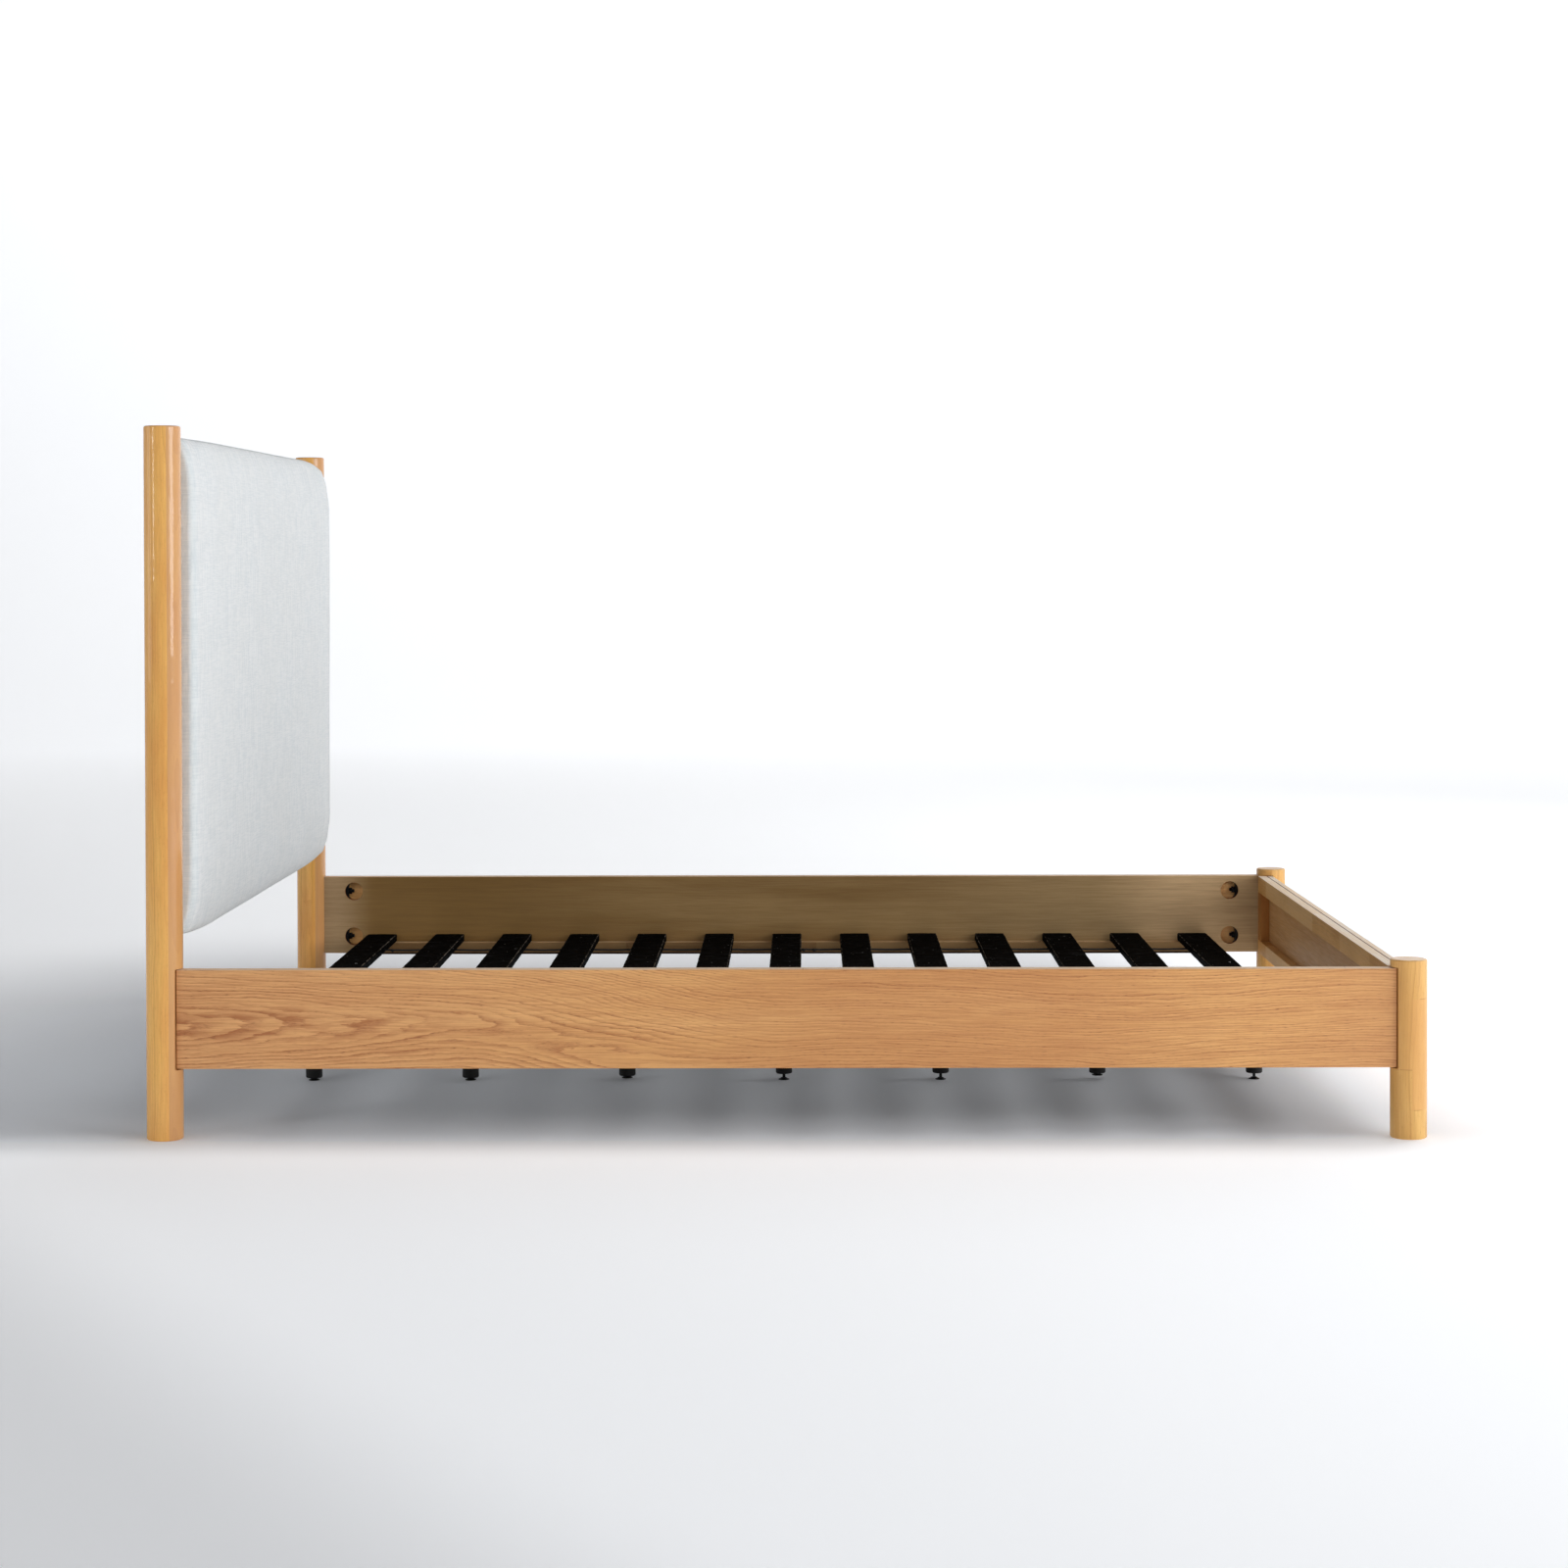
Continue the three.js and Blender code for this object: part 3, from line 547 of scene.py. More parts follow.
# Each wood finish: its name, and a look from above with the values that differ.
woods = dict(
    railLeft=("oak veneer, left rail", dict(veneer, seed=8.0)),
    railRight=("oak veneer, right rail", veneer),
    railInside=("satin veneer", satin),
    footPanel=(
        "oak veneer, footboard",
        dict(veneer, axes=("y", "z", "x"), seed=15.0, depth=((-0.8, 0.03), (0.8, 0.07))),
    ),
    footInside=(
        "footboard inside veneer",
        dict(
            satin,
            axes=("y", "z", "x"),
            seed=30.0,
            light=tone(208, 158, 100),
            mid=tone(186, 138, 84),
            dark=tone(140, 98, 58),
            tints=[(tone(206, 156, 104), (-0.8, 0.4, 0.7, 0.4))],
        ),
    ),
    # The head posts' side towards the pad: a paler, pinker wood layer, partly a painted reflection of the
    # pad.
    headPost=("lacquered head post", dict(post, side=(-1.0555, 0.7, tone(206, 152, 104)))),
    footPost=(
        "lacquered foot post",
        dict(
            post,
            seed=9.0,
            heart=(1.15, -0.9),
            light=tone(238, 194, 116),
            mid=tone(218, 168, 92),
            dark=tone(174, 116, 60),
            ringShare=0.62,
            ripple=0.8,
            shader=dict(Specular_IOR_Level=0.2, Coat_Weight=0.35, Coat_Roughness=0.25),
            block=0.19,
            blockShift=0.02,
            blockShare=0.55,
            blockTone=tone(222, 162, 96),
            layer=0.034,
            layerShift=0.1215,
        ),
    ),
    beam=("footboard frame wood", beam),
    # A darker, redder copy of the frame wood: painted shade, with reddish reflected light, in the footboard's
    # inner corner.
    stile=(
        "footboard stile, painted shade",
        dict(
            beam,
            axes=("z", "y", "x"),
            seed=33.0,
            block=2.0,
            light=tone(182, 122, 60),
            mid=tone(160, 98, 42),
            dark=tone(120, 74, 34),
        ),
    ),
    # Top faces of the footboard: painted light and sheen, much paler than the frame wood; the seam is a joint
    # line across it.
    topEdge=(
        "pale planed top edge",
        dict(
            beam,
            seed=40.0,
            light=tone(255, 242, 222),
            mid=tone(255, 234, 206),
            dark=tone(226, 178, 142),
            blockShare=0.25,
            seamAndShadeLine=(2, 1.0555, 0.0008, tone(120, 66, 44)),
        ),
    ),
    # Top faces of the rails: painted highlight, paler than the rail wood.
    railTop=(
        "pale rail top edge",
        dict(
            beam,
            axes=("x", "y", "z"),
            seed=41.0,
            light=tone(250, 222, 190),
            mid=tone(242, 208, 172),
            blockShare=0.0,
        ),
    ),
    ledge=(
        "ledge wood",
        dict(
            beam,
            axes=("x", "z", "y"),
            heart=(0.2, 0.9),
            block=0.42,
            light=tone(150, 116, 76),
            mid=tone(134, 100, 62),
            dark=tone(100, 72, 42),
            blockTone=tone(166, 132, 88),
            # Painted shade: a dark line along the ledge's lower edge, under the tape.
            seamAndShadeLine=(1, 0.1222, 0.003, tone(58, 40, 24)),
        ),
    ),
    # Top faces of the ledges: painted highlight.
    ledgeTop=(
        "ledge top, painted highlight",
        dict(
            beam,
            axes=("x", "y", "z"),
            seed=44.0,
            light=tone(214, 180, 136),
            mid=tone(200, 164, 120),
            blockShare=0.0,
        ),
    ),
    rawWood=(
        "bare wood in the pockets",
        dict(
            beam,
            axes=("x", "z", "y"),
            light=tone(250, 200, 134),
            mid=tone(238, 180, 108),
            blockShare=0.0,
        ),
    ),
    # The pockets' walls: a darker copy of the bare wood, painted shade in the recesses.
    pocketWall=(
        "pocket walls, painted shade",
        dict(
            beam,
            axes=("x", "z", "y"),
            light=tone(156, 96, 54),
            mid=tone(132, 76, 40),
            blockShare=0.0,
        ),
    ),
)
finishes = {}
for key, (name, look) in woods.items():
    dress = oakVeneer if "depth" in look else solidWood
    finishes[key] = dress(name, look)
print("wood finishes made")


# Black slat finish: a thin glossy film over rough wood, scuffed pale on its edges, with grey streaks of
# painted sheen.
def slatFinish():
    gloss = dict(Specular_IOR_Level=0.0, Coat_Weight=0.02, Coat_Roughness=0.2)
    finish, tree, shader = newFinish("black slat film", **gloss)
    axes = grainAxes(tree, "y", "x", "z")
    edge = put(tree, "Attribute", {}, attribute_name="edge").outputs["Fac"]
    ripple = grainNoise(tree, axes, (22, 34, 40), 3, 0.55, seed=2.0)
    fibre = grainNoise(tree, axes, (40, 420, 420), 2, seed=5.0)
    scuff = grainNoise(tree, axes, (60, 160, 160), 3, 0.7, seed=6.0)
    streak = grainNoise(tree, axes, (210, 22, 160), 3, 0.65, seed=9.0)
    worn = times(tree, sums(tree, "POWER", edge, 2.0), ramp(tree, scuff, 0.44, 0.60))
    lint = ramp(tree, grainNoise(tree, axes, (110, 150, 150), 1, seed=7.0), 0.76, 0.79)
    colour = mixTone(tree, ripple, tone(2, 2, 2), tone(13, 13, 13))
    # Painted sheen: pale grey streaks across the slats, in place of the film's reflection.
    colour = overlay(tree, colour, tone(52, 51, 52), streak, 0.55, 0.72, 0.6)
    colour = mixTone(tree, times(tree, worn, 0.7), colour, tone(136, 124, 110))
    colour = mixTone(tree, times(tree, lint, 0.5), colour, tone(150, 148, 144))
    tree.links.new(colour, shader.inputs["Base Color"])
    tree.links.new(ramp(tree, scuff, 0.3, 0.7, 0.24, 0.42), shader.inputs["Roughness"])
    height = sums(tree, "ADD", ripple, times(tree, fibre, 0.12))
    addBump(tree, shader, height, 0.0022, 0.8, "Coat Normal")
    addBump(tree, shader, height, 0.0022, 0.4)
    return finish


def tapeFinish():
    finish, tree, shader = newFinish("black webbing", Roughness=0.9)
    along, across, _ = grainAxes(tree, "x", "y", "z")
    rib = sums(tree, "SINE", times(tree, sums(tree, "ADD", along, across), 3900))
    counter = sums(tree, "SINE", times(tree, sums(tree, "SUBTRACT", along, across), 3900))
    weave = times(tree, rib, counter)
    colour = mixTone(tree, ramp(tree, weave, -1, 1), tone(14, 13, 13), tone(34, 33, 32))
    tree.links.new(colour, shader.inputs["Base Color"])
    addBump(tree, shader, weave, 0.0003, 0.6)
    return finish


# Moulded, painted and plated parts: an even tone with fine speckle.
def hardwareFinish(name, dark, light, roughness, **settings):
    finish, tree, shader = newFinish(name, **settings)
    axes = grainAxes(tree, "x", "y", "z")
    speckle = grainNoise(tree, axes, (900, 900, 900), 3, 0.6)
    cloud = grainNoise(tree, axes, (60, 60, 60), 3, 0.6, seed=3.0)
    tree.links.new(mixTone(tree, cloud, dark, light), shader.inputs["Base Color"])
    dullness = ramp(tree, cloud, 0.3, 0.7, roughness - 0.06, roughness + 0.08)
    tree.links.new(dullness, shader.inputs["Roughness"])
    addBump(tree, shader, speckle, 0.00012, 0.5)
    return finish


# Plain weave: threads of both ways at a fixed pitch, thicker slubs that run along single threads, and a soft
# change of tone over the cloth, with a cool cast painted at the pad's ends as painted light. The map counts
# metres along the threads.
def linenFinish():
    finish, tree, shader = newFinish("pale linen", Roughness=0.95, Sheen_Weight=0.25, Sheen_Roughness=0.5)
    place = put(tree, "UVMap", {}, uv_map="threads").outputs[0]
    parts = put(tree, "SeparateXYZ", {0: place}).outputs
    weft, warp = parts[0], parts[1]
    turns = 2 * math.pi / 0.0011
    lift = [sums(tree, "SINE", times(tree, part, turns)) for part in (weft, warp)]
    weave = times(tree, lift[0], lift[1])
    crown = sums(tree, "ADD", sums(tree, "ABSOLUTE", lift[0]), sums(tree, "ABSOLUTE", lift[1]))
    slubWeft = grainNoise(tree, (weft, warp, 0.0), (26, 460, 1), 3, 0.6, seed=1.0)
    slubWarp = grainNoise(tree, (weft, warp, 0.0), (170, 26, 1), 3, 0.6, seed=5.0)
    cloud = grainNoise(tree, (weft, warp, 0.0), (6, 6, 1), 3, 0.6, seed=8.0)
    slubs = sums(tree, "ADD", slubWeft, slubWarp)
    relief = sums(tree, "MULTIPLY_ADD", slubWeft, 0.8, times(tree, slubWarp, 0.5))
    colour = mixTone(tree, ramp(tree, slubs, 0.78, 1.22), tone(227, 232, 234), tone(244, 246, 246))
    colour = overlay(tree, colour, tone(237, 237, 234), cloud, 0.3, 0.7, 0.2)
    colour = overlay(tree, colour, tone(202, 206, 209), weave, -1, 1, 0.12)
    fromMiddle = sums(tree, "ABSOLUTE", grainAxes(tree, "y", "x", "z")[0])
    # Painted light: a cool cast over the cloth at the pad's ends, against the warm light that the posts throw
    # on them.
    paintedCoolCast = mixTone(tree, 1.0, colour, tone(250, 254, 255), "MULTIPLY")
    colour = mixTone(tree, ramp(tree, fromMiddle, 0.733, 0.750), colour, paintedCoolCast)  # the pad's ends
    tree.links.new(colour, shader.inputs["Base Color"])
    height = sums(tree, "MULTIPLY_ADD", crown, 0.35, weave)
    height = sums(tree, "MULTIPLY_ADD", relief, 1.3, height)
    addBump(tree, shader, height, 0.00024, 0.6)
    return finish


finishes.update(
    slat=slatFinish(),
    tape=tapeFinish(),
    linen=linenFinish(),
    leg=hardwareFinish("black leg", tone(8, 8, 8), tone(18, 18, 17), 0.55, Specular_IOR_Level=0.3),
    foot=hardwareFinish(
        "black levelling foot", tone(10, 10, 11), tone(22, 22, 23), 0.42, Specular_IOR_Level=0.4
    ),
    steel=hardwareFinish("blackened steel", tone(2, 2, 2), tone(9, 8, 8), 0.4, Specular_IOR_Level=0.15),
    zinc=hardwareFinish("zinc plated steel", tone(150, 150, 148), tone(182, 181, 176), 0.3, Metallic=1.0),
)
print("cloth, black and metal finishes made")


# Posts
postShape = dict(
    edge=0.003,
    edgeSteps=6,
    columns=96,
    notchDepth=0.010,
    notchRoom=0.0016,
    notchCorner=0.003,
    notchSteps=6,
    railLip=0.0103,  # from the post's axis to the notch's inner wall
    footLip=0.0008,  # from the post's axis to the footboard notch's outer wall
    boltHole=0.0044,
    footDowelHole=0.0044,
    headDowelHole=0.0064,
)


# A post's skin. Each section is a circle drawn in at the rounded ends. Within the rail notch it is cut
# flat, x = min(x, c(z)), and c(z) follows the cutter's round corners. A foot post's second notch cuts
# y in the same way for the footboard.
def postRows(low, high, inward, outward, footNotch, railLow, railHigh):
    shape = postShape
    radius = (high[0] - low[0]) / 2
    centre = (low + high) / 2
    cheek = radius - shape["notchDepth"]
    lipAngle = -math.asin(shape["railLip"] / radius)
    footLipAngle = -math.acos(-shape["footLip"] / radius)
    even = np.linspace(-math.pi, math.pi, shape["columns"], endpoint=False)
    extra = [lipAngle, lipAngle, math.acos(cheek / radius)]
    extra += [footLipAngle, footLipAngle, -math.asin(cheek / radius)]
    angle = np.concatenate([even, extra])
    betweenLips = (even > footLipAngle) & (even < lipAngle)
    inRail = np.concatenate([even > lipAngle, [False, True, True, False, False, False]])
    inFoot = np.concatenate([betweenLips, [False, False, False, False, True, True]])
    order = np.lexsort((inRail | inFoot, angle))
    angle, inRail, inFoot = angle[order], inRail[order], inFoot[order]
    notchLow, notchHigh = railLow - shape["notchRoom"], railHigh + shape["notchRoom"]
    quarter = np.linspace(0, math.pi / 2, shape["edgeSteps"] + 1)
    turn = np.linspace(0, math.pi / 2, shape["notchSteps"] + 1)
    corner = shape["notchCorner"]
    edge = shape["edge"]
    inCorner = corner * (1 - np.cos(turn))
    cheeks = cheek + corner * (1 - np.sin(turn))
    z = np.concatenate(
        [
            low[2] + edge * (1 - np.cos(quarter)),
            [notchLow],
            notchLow + inCorner,
            (notchHigh - inCorner)[::-1],
            [notchHigh],
            (high[2] - edge * (1 - np.cos(quarter)))[::-1],
        ]
    )
    r = np.full(len(z), radius)
    r[: len(quarter)] = radius - edge + edge * np.sin(quarter)
    r[-len(quarter) :] = r[: len(quarter)][::-1]
    whole = np.ones(len(quarter) + 1)  # wider than the post: not cut
    flat = np.concatenate([whole, cheeks, cheeks[::-1], whole])
    x = r[:, None] * np.cos(angle)
    y = r[:, None] * np.sin(angle)
    x = np.where(inRail, np.minimum(x, flat[:, None]), x)
    if footNotch:
        y = np.where(inFoot, np.maximum(y, -np.where(flat < 1, cheek, flat)[:, None]), y)
    rows = np.empty((len(z), len(angle), 3))
    rows[..., 0] = centre[0] + inward * x
    rows[..., 1] = centre[1] + outward * y
    rows[..., 2] = z[:, None]
    return rows


def makePosts():
    for side, way in sides.items():
        railLow, railHigh = corners(f"side_rail_{side}")
        boardLow, boardHigh = corners("footboard_panel")
        for end, inward in (("head", 1), ("foot", -1)):
            node = f"{end}_post_{side}"
            low, high = corners(node)
            axisX, axisY = (low[:2] + high[:2]) / 2
            radius = (high[0] - low[0]) / 2
            rows = postRows(low, high, inward, way, end == "foot", railLow[2], railHigh[2])
            item = addPiece(f"post_{end}_{side}", rows)
            boltY = way * rail["boltY"]
            tip = axisX - inward * (rail["boltPostLength"] - (radius - postShape["notchDepth"]) + 0.0004)
            holes = [
                rodRows(postShape["boltHole"], tip, axisX + inward * radius, (0, boltY, level), "x", 24)
                for level in rail["boltLevels"]
            ]
            if end == "head":
                dowel, hole, depth, dowelX = headboard, "headDowelHole", 0.0, headboard["dowelX"]
            else:
                dowel, hole, depth = footboard, "footDowelHole", postShape["notchDepth"]
                dowelX = (boardLow[0] + boardHigh[0]) / 2
            mouth = axisY - way * (radius + 0.002)
            floor = axisY - way * (radius - depth - dowel["dowelLength"])
            holes += [
                rodRows(postShape[hole], mouth, floor, (dowelX, 0, level), "y", 24)
                for level in dowel["dowelLevels"]
            ]
            cut(item, holes)
            finishPiece(item, f"{end}Post", [node], sharpFrom=30)


# Side rails and the fittings in their pockets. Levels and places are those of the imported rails.
rail = dict(
    edge=0.0011,
    pocketRadius=0.0197,
    pocketDepth=0.019,
    pocketX=(-0.972, 0.975),
    boltLevels=(0.1595, 0.2595),
    boltY=0.7875,
    boltRadius=0.004,
    boltThread=0.0006,
    boltPitch=0.00125,
    boltPostLength=0.034,
    channel=0.0046,
    nutAcross=0.013,
    nutHeight=0.0065,
    nutChamfer=30,  # degrees
    washerThickness=0.007,
    washerWidth=0.015,
    washerHalfAngle=62,
    washerDip=0.0006,
    boltEndShow=0.005,
    endPast=(-0.0733, 0.0703),  # where the wood ends, from the pocket's centre
)
footboard = dict(
    dowelLength=0.026,
    dowelLevels=(0.182, 0.232),
    dowelRadius=0.0038,
    dowelRoom=0.0003,
    edge=0.0012,
    flutes=12,
    groove=0.00025,
)
headboard = dict(dowelLength=0.030, dowelX=-1.0785, dowelLevels=(0.479, 1.066))


# Which finish each face of a rail takes: 0 outside, 1 on the inner face, 2 on the pocket floors, 3 on top,
# with a painted highlight, 4 on the pocket walls, with painted shade.
def railFaceFinishes(item, innerY, way):
    centres = np.empty(len(item.data.polygons) * 3)
    item.data.polygons.foreach_get("center", centres)
    x, y, z = centres.reshape(-1, 3).T
    normals = faceNormals(item)
    depth = (y - innerY) * way
    facing = -normals[:, 1] * way
    nearPocket = np.zeros(len(x), bool)
    for pocketX in rail["pocketX"]:
        for level in rail["boltLevels"]:
            nearPocket |= np.hypot(x - pocketX, z - level) < rail["pocketRadius"] * 1.02
    index = np.where(facing > 0.5, 1, 0)
    index = np.where(nearPocket & (depth > 0.0004) & (depth < rail["pocketDepth"] + 0.001), 2, index)
    index = np.where((index == 2) & (np.abs(facing) < 0.5), 4, index)
    return np.where((normals[:, 2] > 0.6) & ~nearPocket, 3, index)


def makeRails():
    for side, way in sides.items():
        node = f"side_rail_{side}"
        low, high = corners(node)
        low[0], high[0] = np.add(rail["pocketX"], rail["endPast"])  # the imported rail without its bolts
        innerY = low[1] if way > 0 else high[1]
        rows, _ = boardRows(low, high, rail["edge"], "x")
        item = addPiece(f"rail_{side}", rows)
        ends = list(zip(("head", "foot"), rail["pocketX"], (low[0], high[0]), (1, -1)))
        holes = []
        for _, pocketX, endX, inward in ends:
            for level in rail["boltLevels"]:
                centre = (pocketX, way * rail["boltY"], level)
                mouth, floor = innerY - way * 0.002, innerY + way * rail["pocketDepth"]
                holes.append(rodRows(rail["pocketRadius"], mouth, floor, centre, "y", 56))
                holes.append(rodRows(rail["channel"], endX - inward * 0.002, pocketX, centre, "x", 20))
        cut(item, holes)
        wood = f"rail{side.capitalize()} railInside rawWood railTop pocketWall"
        finishPiece(item, wood, [node])
        paintFaces(item, railFaceFinishes(item, innerY, way))
        for end, pocketX, endX, inward in ends:
            for place, level in zip(("lower", "upper"), rail["boltLevels"]):
                centre = (0, way * rail["boltY"], level)
                makeFitting(f"{end}_{side}_{place}", pocketX, endX, inward, centre)


# A half-moon washer's rows: an outline of an arc and its chord, carried across the pocket.
def washerRows(pocketX, inward, centre):
    radius = rail["pocketRadius"] - 0.0003
    half = math.radians(rail["washerHalfAngle"])
    seat = pocketX - inward * (rail["pocketRadius"] - rail["washerThickness"])
    a = np.linspace(-half, half, 25)
    arcX = pocketX - inward * radius * np.cos(a)
    arcZ = centre[2] + radius * np.sin(a)
    chordZ = np.linspace(arcZ[-1], arcZ[0], 9)[1:-1]
    dip = rail["washerDip"] * np.cos(np.linspace(-math.pi / 2, math.pi / 2, 7))
    outlineX = np.concatenate([arcX, seat - inward * dip])
    outlineZ = np.concatenate([arcZ, chordZ])
    across = centre[1] + rail["washerWidth"] * np.array([-0.5, -0.46, 0.46, 0.5])
    shrink = np.array([0.965, 1, 1, 0.965])
    middleX = (outlineX.max() + outlineX.min()) / 2
    rows = np.empty((4, len(outlineX), 3))
    rows[..., 0] = middleX + (outlineX - middleX) * shrink[:, None]
    rows[..., 1] = across[:, None]
    rows[..., 2] = centre[2] + (outlineZ - centre[2]) * shrink[:, None]
    return rows, seat


# A hexagon nut: r = flat / cos(t mod 60 - 30), cut back to a cone at both ends, round a bore.
def nutRows(seat, inward, centre):
    flat = rail["nutAcross"] / 2
    t = circle(72)
    hexagon = flat / np.cos((t % (math.pi / 3)) - math.pi / 6)
    slope, height = math.tan(math.radians(rail["nutChamfer"])), rail["nutHeight"]
    chamfer = (hexagon.max() - flat) * slope
    s = [0, chamfer * 0.5, chamfer, height / 2, height - chamfer, height - chamfer * 0.5, height]
    s = np.array(s)
    reach = np.minimum(s, height - s) / slope
    outer = np.minimum(hexagon, (flat + reach)[:, None])
    bore = np.full((2, len(t)), rail["boltRadius"] + 0.0002)
    r = np.vstack([outer, bore])
    s = np.concatenate([s, [height, 0]])
    return ringRows(seat + inward * (0.0002 + s), r, t, centre, "x")


def makeFitting(name, pocketX, endX, inward, centre):
    rows, seat = washerRows(pocketX, inward, centre)
    finishPiece(addPiece(f"washer_{name}", rows), "steel")
    nut = addPiece(f"nut_{name}", nutRows(seat, inward, centre), ringed=True)
    finishPiece(nut, "steel", sharpFrom=25)
    tip = endX - inward * (rail["boltPostLength"] + 0.0012)
    end = seat + inward * (rail["nutHeight"] + rail["boltEndShow"])
    thread = [rail[name] for name in ("boltRadius", "boltThread", "boltPitch")]
    shank = threadRows(*thread, tip, end, centre, "x", 18, 5)
    finishPiece(addPiece(f"bolt_{name}", shank), "steel", sharpFrom=60, weighted=False)


makePosts()
print("posts made")
makeRails()
print("rails and their fittings made")


# Footboard: a veneered panel, and a frame of rails and stiles on its inner face.
def makeFootboard():
    low, high = corners("footboard_panel")
    innerLow, innerHigh = corners("footboard_top_rail")
    board = (np.array([low[0], innerLow[1], low[2]]), np.array([high[0], innerHigh[1], high[2]]))
    rows, _ = boardRows(*board, footboard["edge"], "y")
    item = addPiece("foot_panel", rows)
    middleX = (low[0] + high[0]) / 2
    holes = []
    radius = footboard["dowelRadius"] + footboard["dowelRoom"]
    for way in sides.values():
        end = innerHigh[1] if way > 0 else innerLow[1]
        inner, outer = end - way * (footboard["dowelLength"] + 0.0005), end + way * 0.002
        for level in footboard["dowelLevels"]:
            holes.append(rodRows(radius, inner, outer, (middleX, 0, level), "y", 20))
    cut(item, holes)
    finishPiece(item, "footPanel footInside topEdge", ["footboard_panel"])
    normals = faceNormals(item)
    paintFaces(item, np.where(normals[:, 0] < -0.9, 1, np.where(normals[:, 2] > 0.6, 2, 0)))
    for part in ("top_rail", "bottom_rail", "stile_left", "stile_right"):
        wood, axis = ("stile", "z") if "stile" in part else ("beam", "y")
        rows, _ = boardRows(*corners(f"footboard_{part}"), footboard["edge"], axis)
        item = addPiece(f"foot_{part}", rows)
        finishPiece(item, f"{wood} topEdge", [f"footboard_{part}"])
        if part == "top_rail":
            paintFaces(item, faceNormals(item)[:, 2] > 0.6)
    for side, way in sides.items():
        tip = (high if way > 0 else low)[1]
        reach = abs(tip) - abs(innerHigh[1]) + footboard["dowelLength"]
        grids = [dowelRows((middleX, 0, level), tip - way * reach, tip) for level in footboard["dowelLevels"]]
        finishPiece(addPiece(f"foot_dowels_{side}", *grids), "rawWood", sharpFrom=60)


# A fluted dowel: r = r0 - groove (1 - cos(n t)) / 2, drawn in at both ends.
def dowelRows(centre, start, end):
    t = circle(60)
    groove = footboard["groove"] * (1 - np.cos(footboard["flutes"] * t)) / 2
    places = np.linspace(start, end, 9)
    scale = np.array([0.72, 0.94, 1, 1, 1, 1, 1, 0.94, 0.72])
    places[1], places[-2] = start + (end - start) * 0.025, end - (end - start) * 0.025
    return ringRows(places, (footboard["dowelRadius"] - groove) * scale[:, None], t, centre, "y")


makeFootboard()
print("footboard made")


# Slats, tapes, ledges
slat = dict(
    edge=0.0025,
    steps=3,
    spans=110,
    flats=10,
    dent=0.0007,
    screwShift=0.015,
    screwY=0.265,
    screwRadius=0.0034,
    screwDome=0.0006,
    crossDepth=0.0011,
    crossWidth=0.16,  # of the head's radius
)


# The film on a slat lies over uneven wood: its faces dip by a sum of sine waves, never outwards.
def slatRows(low, high, number):
    rows, edge = boardRows(low, high, slat["edge"], "y", slat["steps"], slat["spans"], slat["flats"])
    x, y, z = rows[..., 0] - low[0], rows[..., 1], rows[..., 2]
    wave = np.sin(31 * y + 2.1 * number) + 0.7 * np.sin(83 * y + 47 * x + number)
    wave += 0.5 * np.sin(190 * y - 90 * x)
    dip = slat["dent"] * (0.5 + 0.227 * wave)
    middle = (low + high) / 2
    upper = np.clip((z - middle[2]) / (high[2] - middle[2]), 0, 1) ** 4
    sideways = (rows[..., 0] - middle[0]) / (high[0] - middle[0])
    rows[..., 2] = z - dip * upper
    ripple = 0.5 + 0.25 * np.sin(55 * y + 1.7 * number) + 0.25 * np.sin(141 * y + number)
    rows[..., 0] -= np.sign(sideways) * np.abs(sideways) ** 6 * slat["dent"] * ripple
    return rows, edge


# A countersunk screw head with a cross recess, as a low dome: z = h (1 - (r/R)^2) less the cross.
def screwHeadRows(centre):
    radius = slat["screwRadius"]
    r = np.concatenate([[radius, radius], np.linspace(radius, 0, 12)])
    t = circle(48)
    x, y = r[:, None] * np.cos(t), r[:, None] * np.sin(t)
    dome = slat["screwDome"] * (1 - (r / radius) ** 2)[:, None]
    cross = np.clip(1 - np.minimum(np.abs(x), np.abs(y)) / (radius * slat["crossWidth"]), 0, 1)
    cross *= np.clip(1.4 - 2 * r / radius, 0, 1)[:, None]
    z = centre[2] + 0.0001 + dome - slat["crossDepth"] * cross
    z[0] = centre[2] - 0.002
    return np.stack([centre[0] + x, centre[1] + y, z], axis=-1)


def makeSlats():
    for number in range(1, 14):
        node = f"slat_{number:02d}"
        low, high = corners(node)
        rows, edge = slatRows(low, high, number)
        item = addPiece(f"slat_board_{number:02d}", rows, edge=edge)
        finishPiece(item, "slat", [node], sharpFrom=60, weighted=False)
        if number in (1, 13):
            middle, level = (low[0] + high[0]) / 2 + slat["screwShift"], high[2] - 0.0006
            heads = [screwHeadRows((middle, way * slat["screwY"], level)) for way in sides.values()]
            finishPiece(addPiece(f"slat_screws_{number:02d}", *heads), "zinc", sharpFrom=50)


tape = dict(
    edge=0.0006,
    sag=0.0009,
    pitch=0.14983,
    knots=(-0.866, 0.028, 0.051),
    knotRadius=0.0036,
    knotLobes=0.16,
    knotSize=(1.15, 1.6, 0.85),
)


# A knot: a ball with twisted lobes, r = r0 (1 + lobes sin(3 t + 4 u)).
def knotRows(centre):
    u = np.linspace(-math.pi / 2, math.pi / 2, 17)[:, None]
    t = circle(28)
    r = tape["knotRadius"] * (1 + tape["knotLobes"] * np.sin(3 * t + 4 * u))
    ball = np.stack([r * np.sin(u), r * np.cos(u) * np.cos(t), r * np.cos(u) * np.sin(t)], axis=-1)
    return np.add(centre, ball * tape["knotSize"])


